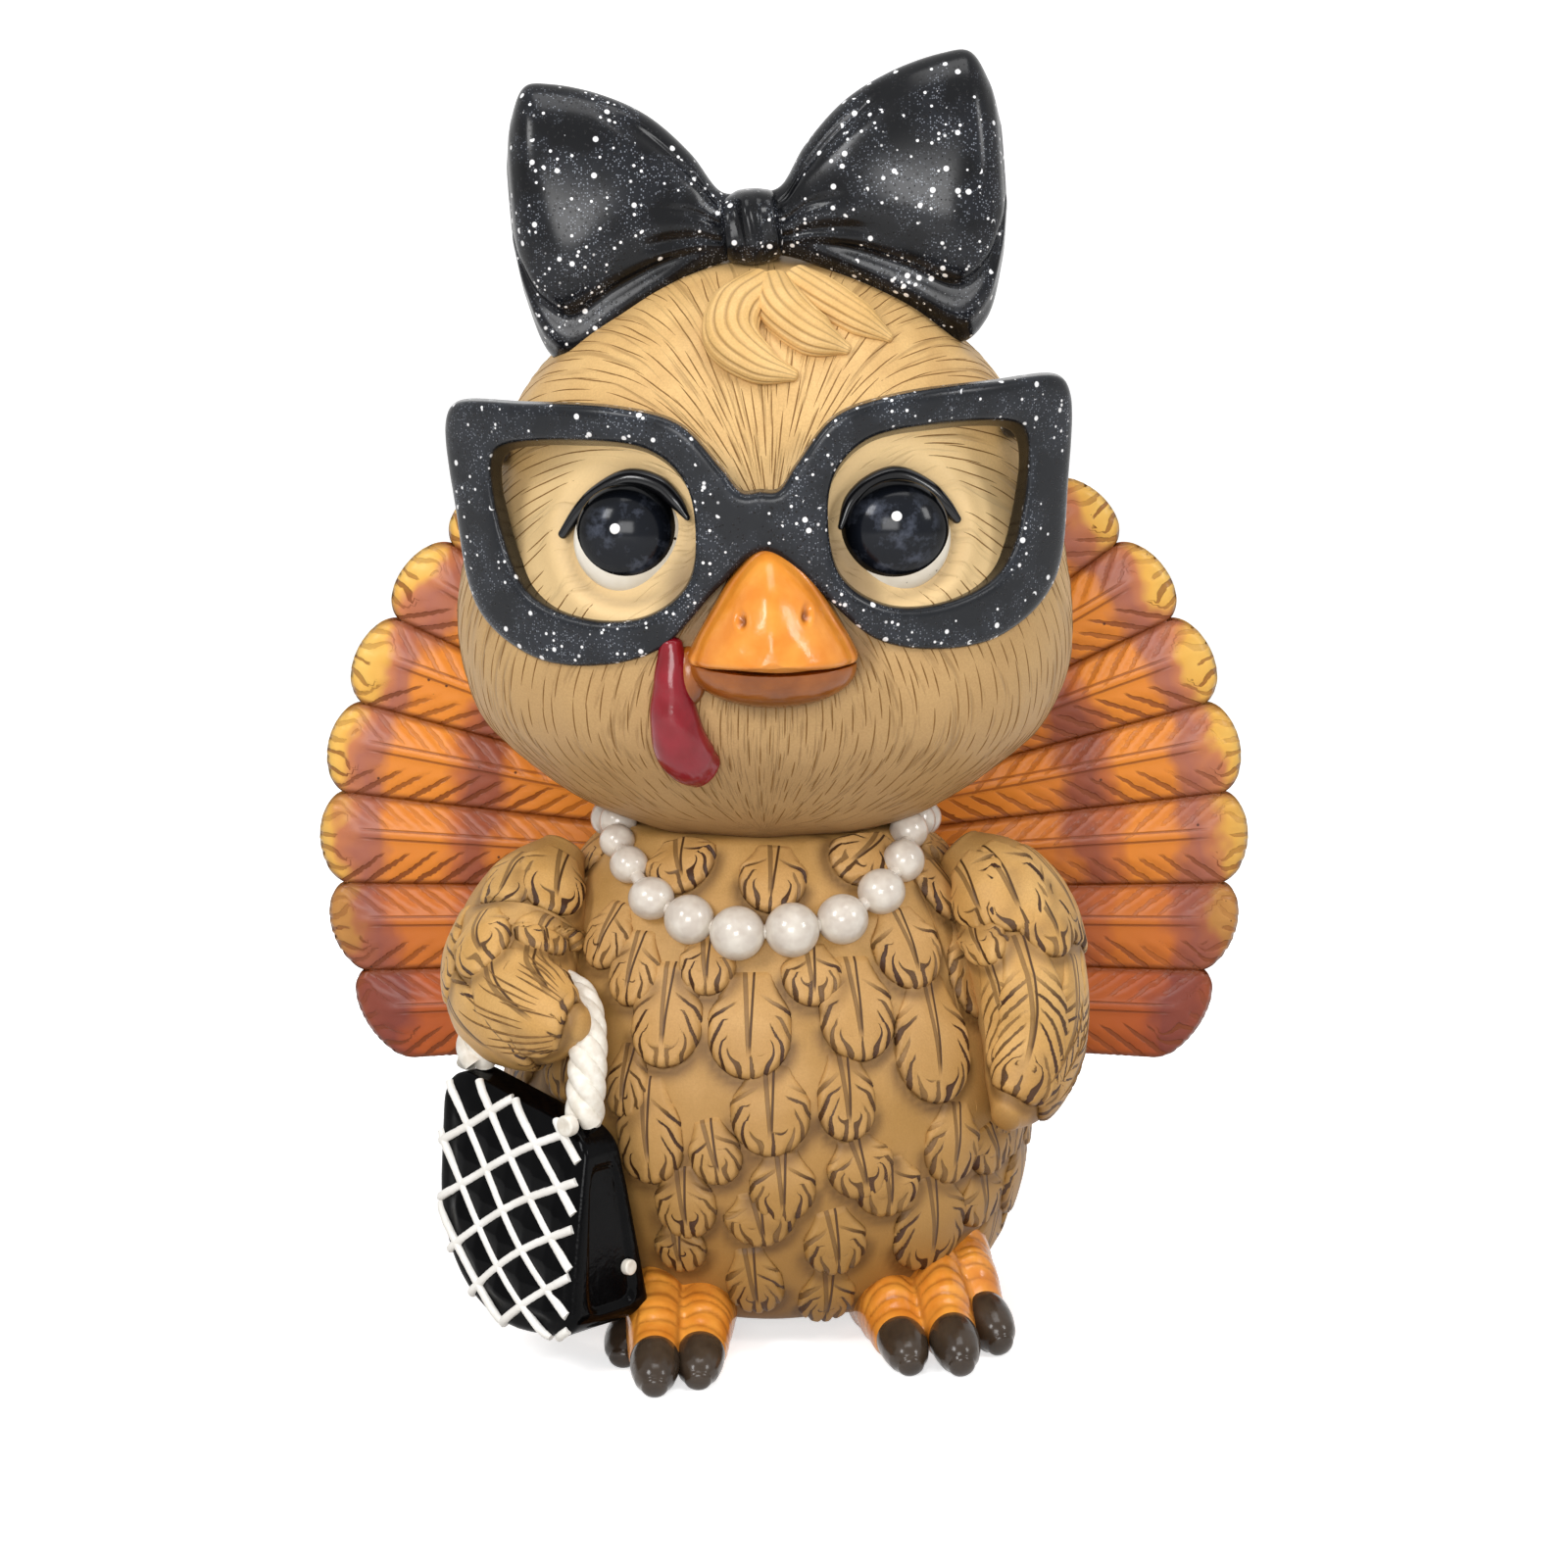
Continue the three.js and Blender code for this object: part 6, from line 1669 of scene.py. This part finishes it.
CLAW_LONG, CLAW_HALF, TOE_HIGH, TOE_WIDE = 9.8, 4.14, 10, 5.1


def on_ground(spot):
    return np.array([FIGURE_X + spot[0] * 42, -spot[1] * 42, 0.0])


FOOT_ORANGE = washed_enamel("orange_enamel_feet", "e2963a", "d07c26", "6e3812", bump=0.3)
CLAW_BROWN = gloss("dark_brown_enamel_claw", "33281f", "41352a", rough=0.2, shine=0.3, bump=0.1)
CLAW = [[-.12, 1.08, 1.08], [.2, 1.02, 1.14], [.5, .88, 1.08], [.78, .68, .9], [.94, .5, .62]]
for hand, toes in TOES.items():
    forms, lines = [], []
    for toe, (base, tip, lift) in toes.items():
        root, end = on_ground(base), on_ground(tip)
        way = unit(end - root)
        length = np.linalg.norm(end - root)
        joint = length - CLAW_LONG
        stations = []
        for share, high, wide in ((-0.12, 1, 1.25), (0.0, 1, 1.3), (0.3, .86, 1.24),
                                  (.55, .73, 1.14), (.8, .56, 1.05), (1, .45, .96)):
            z_half = high * lift * TOE_HIGH
            place = root + way * joint * share + [0, 0, z_half * 0.98]
            stations.append((place, wide * TOE_WIDE, z_half))
        rings, _ = Sweep(stations, (0, 0, 1)).grid(40, 48, 3.0, 2.2)
        forms.append(closed(rings))
        lines.append((root, way, joint))
        joint_z = 0.45 * lift * TOE_HIGH
        claw = [(root + way * (joint + out * CLAW_LONG) + [0, 0, joint_z * rise],
                 CLAW_HALF * size, CLAW_HALF * size * (joint_z / 4.7))
                for out, rise, size in CLAW]
        rings, _ = Sweep(claw, (0, 0, 1)).grid(50, 48, 0.8, 1.5)
        rings[..., 2] = np.maximum(rings[..., 2], 0.05)
        piece(f"claw_{hand}_{toe}_nail", closed(rings), CLAW_BROWN, "claw_brown",
              f"claw_{hand}_{toe}")
    roots = np.mean([line[0] for line in lines], axis=0)
    sole = Sweep([(roots + [0, 4, 2.5], 10.5, 2.6), ([roots[0], 0, 2.4], 8.5, 2.4),
                  ([roots[0], 14, 2.35], 7.5, 2.35), ([roots[0], 28, 2.3], 7.2, 2.3)], (0, 0, 1))
    forms.append(closed(sole.grid(30, 36, 2.0, 2.0)[0]))
    whole = joined(forms)
    mesh = bpy.data.meshes.new("foot")
    mesh.from_pydata((whole.points * MM).tolist(), [], whole.faces)
    foot = remeshed(mesh, 0.55, 8)
    spots = foot.points
    height, stain_and_shade = np.zeros(len(spots)), np.zeros(len(spots))
    best, offs = np.full(len(spots), 1e9), []
    for root, way, joint in lines:
        run = (spots - root) @ way
        off = np.linalg.norm((spots - root - run[:, None] * way)[:, :2], axis=1)
        offs.append(off)
        mine = off < best
        best = np.minimum(best, off)
        share = run / joint + 0.02 * lumps(spots, 9, 21)
        knuckle = np.cos(share * 2 * math.pi * 2.6 + 0.02 * off**2)
        crease = np.cos(share * 2 * math.pi * 9 + 0.02 * off**2 + 1.5 * lumps(spots, 12, 22))
        amount = step(0.05, 0.2, share) * (1 - step(0.88, 1.0, share))
        height = np.where(mine, (0.3 * knuckle + 0.13 * crease) * amount, height)
        # Wash and painted shade in the creases and between the knuckles.
        crease_wash_and_shade = np.clip(-crease - 0.35, 0, 1) ** 2 * 1.2 + np.clip(-knuckle, 0, 1) ** 3 * 0.25
        stain_and_shade = np.where(mine, crease_wash_and_shade * amount, stain_and_shade)
    top = step(0.4, 3.0, spots[:, 2])
    lifted = np.maximum(spots[:, 2] + height * top, 0.0)
    foot.points = np.column_stack([spots[:, :2], lifted])
    # Painted shade low down, where the foot meets the floor.
    stain_and_shade = np.maximum(stain_and_shade * top, 0.8 * (1 - step(0.3, 3.0, spots[:, 2])))
    # Painted shade between the toes.
    gap = np.sort(offs, axis=0)
    stain_and_shade = np.maximum(stain_and_shade, 0.5 * bell(gap[1] - gap[0], 0.9) * (gap[0] > 3.0))
    foot.notes = {"wash": stain_and_shade[:, None]}
    piece(f"foot_{hand}_cast", foot, FOOT_ORANGE, "foot_orange", f"foot_{hand}")
    print(hand, "foot:", len(foot.faces), "faces")

# %% [markdown]
# ## 17. The tail fan
#
# Twenty feathers stand in a fan. Each fills the space between two seams and ends in a flat arch.
# It is pillowed, with a double quill above its middle and long slanting barbs cut in below, and
# airbrushed: pale gold at the tip, mauve-brown, orange, mauve-brown and orange again. The lowest
# feathers are redder and end in the mauve-brown.

# %%
FAN_Z, QUILL_AT = 83.0, -1.4
BARBS = dict(tip=2.5, side=5.2, lean=1.4, reach=(4.4, 7.6))
LOWEST = (1.0, 0.6, 0.15)
NOTCH, ARCH = 91.6, 6.0
SEAM_ROOTS = [-66, -29, -5, 12, 25, 36, 46, 56, 67, 78, 90]


def seam(i):
    fold = i if i <= 10 else 20 - i
    side = 1 if i <= 10 else -1
    turn = math.radians(-31 if fold == 0 else 90 - 12 * (10 - fold))
    root = math.radians(SEAM_ROOTS[fold])
    return (np.array([side * 0.94 * 22 * math.cos(root), 76 + 0.94 * 42 * math.sin(root)]),
            np.array([side * NOTCH * math.cos(turn), FAN_Z + NOTCH * math.sin(turn)]))


def tail_feather(i):
    rows, columns = 80, 40
    (right_root, right_notch), (left_root, left_notch) = seam(i), seam(i + 1)
    v, u = np.meshgrid(np.linspace(0, 1, rows) ** 0.9, np.linspace(-1, 1, columns), indexing="ij")
    a = right_root + (right_notch - right_root) * v[..., None]
    b = left_root + (left_notch - left_root) * v[..., None]
    middle, half = (a + b) / 2, (b - a) / 2
    half = half * (1 - 0.015 / np.maximum(np.linalg.norm(half, axis=-1, keepdims=True), 0.6))
    out = unit(((right_notch + left_notch) / 2 - (right_root + left_root) / 2))
    bend = 0.02 + v * 1.55
    x = np.sin(u * bend) / np.sin(bend)
    lift = ARCH * v**3.0 * (np.cos(u * bend) - np.cos(bend)) / (1 - np.cos(bend))
    flat = middle + half * x[..., None] + out * lift[..., None]
    inside, from_tip = from_rim(flat, 300)
    edge = np.sqrt(1 - (1 - np.minimum(inside / 1.4, 1)) ** 2)
    lower = x * np.linalg.norm(half, axis=-1) * (-1 if i < 10 else 1)
    along = ((flat - (right_root + left_root) / 2) * out).sum(-1)
    from_end = along.max() - along
    turns, deep = cut_notes(from_tip, inside, BARBS, i * 0.618 % 1)
    barb = bell(turns % 1 - 0.5, 0.14) * (1 - step(0.5, 1.0, deep)) * step(0.2, 0.4, v)
    seamed = step(5.0, 12.0, np.abs(from_tip))
    ridge = bell(lower - QUILL_AT, 1.1) * step(4, 9, from_end)
    pillow = 1.0 * step(0, 6.0, inside) + 0.35 * ridge - 0.4 * barb * step(0.2, 1.2, inside)
    edge += (1 - edge) * 0.5 * seamed
    front = 54 - 2.4 * edge - pillow * step(0.15, 0.5, v)
    back = 54 + 2.4 * edge + 0.5 * (step(0, 6.0, inside) + ridge) * step(0.15, 0.5, v)
    pair = lambda values: np.concatenate([values, values[:, ::-1]], 1)
    rings = np.stack([pair(flat)[..., 0], np.concatenate([front, back[:, ::-1]], 1),
                      pair(flat)[..., 1]], -1)
    low = LOWEST[min(i, 19 - i)] if min(i, 19 - i) < 3 else 0.0
    # Painted shade with the wash along each rim, strongest at the seams between feathers.
    seam_wash_and_shade = (1 - step(0.3, 1.5, inside)) * (0.3 + 0.45 * seamed)
    return closed(rings, edge=pair(np.stack([turns, deep, np.full_like(x, i * 0.618 % 1)], -1)),
                  leaf=pair(np.stack([lower, from_end, np.full_like(x, low)], -1)),
                  wash=pair(seam_wash_and_shade[..., None]))


BANDS = [(0.0, "f4c769"), (0.085, "f0b756"), (0.13, "cd8055"), (0.19, "b56e58"),
         (0.25, "ba7050"), (0.31, "ec9038"), (0.5, "f09234"), (0.57, "c26c3c"), (0.64, "96523d"),
         (0.71, "9a5238"), (0.78, "df8434"), (1.0, "e88c34")]
LOW_BANDS = [(0.0, "a14f30"), (0.07, "8a4434"), (0.19, "854033"), (0.3, "b95a28"),
             (0.6, "cc6a28"), (0.8, "a9532c"), (1.0, "c0642c")]
BAND_REACH = 50.0


def airbrushed(name):
    """Satin enamel, airbrushed in bands by the distance from the tip in millimetres.

    Seams, quills and barbs are cut in and washed brown, and the rims and seams also carry painted
    shade; sparse dark specks fell on the wet paint."""
    paint = Paint(name, Roughness=0.34, Specular_IOR_Level=0.25)
    tree, where = paint.tree, paint.where
    haze = noise(tree, where, 110.0, Detail=2.0)
    wander = remap(tree, haze, 0.3, 0.7, -0.05, 0.05)
    lower, from_end, low = (attribute(tree, "leaf", k) for k in range(3))
    spot = calc(tree, "MULTIPLY_ADD", from_end, 1 / BAND_REACH, wander)
    ramps = []
    for stops in (BANDS, LOW_BANDS):
        ramp = tree.nodes.new("ShaderNodeValToRGB")
        tree.links.new(spot, ramp.inputs[0])
        while len(ramp.color_ramp.elements) < len(stops):
            ramp.color_ramp.elements.new(0.5)
        for element, (place, colour) in zip(ramp.color_ramp.elements, stops):
            element.position, element.color = place, linear(colour)
        ramps.append(ramp.outputs[0])
    colour = blended(tree, low, *ramps)
    off = calc(tree, "SUBTRACT", lower, QUILL_AT)
    off = calc(tree, "ABSOLUTE", off)
    vein = cut_lines(tree, off, 0.95, 0.12, 0.22)
    fading = remap(tree, from_end, 8.0, 12.0, 0.0, 0.8)
    vein = calc(tree, "MULTIPLY", vein, fading)
    comma = rim_cuts(tree, where)
    below = remap(tree, lower, -2.0, 1.5, 0.45)
    comma = calc(tree, "MULTIPLY", comma, below)
    cut = calc(tree, "MAXIMUM", comma, vein)
    shade = calc(tree, "MULTIPLY", cut, 0.8)
    colour = blended(tree, shade, colour, "7c3c16")
    # Wash and painted shade along the rims and seams.
    colour = blended(tree, attribute(tree, "wash", "value"), colour, "7c3c14")
    cells = add(tree, "ShaderNodeTexVoronoi", {"Vector": where, "Scale": 1 / 0.006})
    speck = remap(tree, cells, 0.04, 0.06, 0.9, 0.0)
    height = calc(tree, "MULTIPLY", cut, -1.0)
    return paint.coat(blended(tree, speck, colour, "4a2415"), height, 0.6, 0.0004)


TAIL_PAINT = airbrushed("airbrushed_orange_enamel")
for i in range(20):
    piece(f"fan_feather_{i + 1:02d}", tail_feather(i), TAIL_PAINT, "feather_orange",
          f"tail_feather_{i + 1:02d}")
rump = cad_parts["tail_root"]
if not rump.data.materials:
    rump.data.materials.append(TAN_PLAIN)
for k in range(len(rump.data.materials)):
    rump.data.materials[k] = TAN_PLAIN
print("twenty feathers, and the rump behind keeps its plain form with the satin tan")

# %% [markdown]
# ## 18. Camera, floor and light
#
# The camera stands at the front, a little above, and looks down ten degrees through a long lens.
# The floor and backdrop are white for the camera and for gloss, and grey for the light that they
# bounce, so the underside stays deeper. Soft lamps left, right and above, and an even world, light
# the figure at a plain level.

# %%
FOCAL_PIXELS, PICTURE_PIXELS, DISTANCE = 4233.2, 1600, 800
camera_data = bpy.data.cameras.new("front_camera")
camera_data.sensor_width, camera_data.sensor_fit = 36.0, "HORIZONTAL"
camera_data.lens = FOCAL_PIXELS / PICTURE_PIXELS * camera_data.sensor_width
camera_data.clip_start, camera_data.clip_end = 0.05, 20.0
camera = in_scene("front_camera", camera_data)
pitch = math.radians(10)
height = 103.65 + DISTANCE * math.tan(pitch)
camera.location = (0, -DISTANCE * MM, height * MM)
camera.rotation_euler = (math.pi / 2 - pitch, 0, 0)
bpy.context.scene.camera = camera


def seen_directly(tree):
    """1 for camera, glossy and transmission rays, and 0 for the rays that carry diffuse light."""
    rays = tree.nodes.new("ShaderNodeLightPath")
    seen = calc(tree, "MAXIMUM", rays.outputs["Is Camera Ray"], rays.outputs["Is Glossy Ray"])
    return calc(tree, "MAXIMUM", seen, rays.outputs["Is Transmission Ray"])


def stage_white(name):
    """White studio paper; its glow lifts it to white where only soft light falls on it."""
    material = bpy.data.materials.new(name)
    material.use_nodes = True
    tree = material.node_tree
    tree.nodes.clear()
    paper = add(tree, "ShaderNodeBsdfDiffuse", {"Color": linear("ffffff")})
    glow = add(tree, "ShaderNodeEmission", {"Color": linear("ffffff"), "Strength": 0.62})
    bright = add(tree, "ShaderNodeAddShader", {0: paper, 1: glow})
    grey = add(tree, "ShaderNodeBsdfDiffuse", {"Color": linear("a6a29c")})
    mixed = add(tree, "ShaderNodeMixShader", {0: seen_directly(tree), 1: grey, 2: bright})
    add(tree, "ShaderNodeOutputMaterial", {"Surface": mixed})
    return material


def sweep_floor():
    """A floor that curves up into a backdrop behind, like studio paper."""
    profile = [(-3.0, 0.0), (1.0, 0.0)]
    profile += [(1.0 + 0.8 * math.sin(a), 0.8 - 0.8 * math.cos(a))
                for a in np.linspace(0, math.pi / 2, 12)[1:]]
    profile += [(1.8, 3.0)]
    points, faces = [], []
    for y, z in profile:
        points += [(-4, y, z), (4, y, z)]
        faces.append([len(points) - 2, len(points) - 1, len(points) + 1, len(points)])
    mesh = bpy.data.meshes.new("studio_paper")
    mesh.from_pydata(points, [], faces[:-1])
    mesh.materials.append(stage_white("white_studio_paper"))
    in_scene("studio_paper", mesh)


sweep_floor()
world = bpy.data.worlds.new("even_light")
bpy.context.scene.world = world
world.use_nodes = True
tree = world.node_tree
tree.nodes.clear()
strength = remap(tree, seen_directly(tree), 0.0, 1.0, 0.38)
add(tree, "ShaderNodeOutputWorld", {"Surface": add(tree, "ShaderNodeBackground", {
    "Color": linear("ffffff"), "Strength": strength})})


def soft_lamp(name, place, aim, size, watts):
    data = bpy.data.lights.new(name, "AREA")
    data.shape, data.size, data.size_y = "RECTANGLE", size[0], size[1]
    data.energy = watts
    lamp = in_scene(name, data)
    lamp.location = place
    lamp.rotation_euler = (Vector(aim) - Vector(place)).to_track_quat("-Z", "Y").to_euler()


soft_lamp("left_window", (-0.7, -0.85, 0.8), (0, 0, 0.12), (0.28, 0.36), 5.8)
soft_lamp("right_window", (0.85, -0.6, 0.6), (0, 0, 0.12), (0.22, 0.34), 3.4)
soft_lamp("top_panel", (0.05, -0.25, 1.1), (0, 0, 0.12), (0.6, 0.5), 4.0)
soft_lamp("front_fill", (-0.1, -1.3, 0.35), (0, 0, 0.13), (0.5, 0.4), 7.2)
bpy.context.scene.view_settings.view_transform = "Standard"
print("camera at", [round(c, 3) for c in camera.location], "with a lens of", camera_data.lens)

# %% [markdown]
# ## 19. The end
#
# The dressed model is meant to stay in the plain model's box, apart from a little; this last step
# only brings the scene up to date.

# %%
bpy.context.view_layer.update()
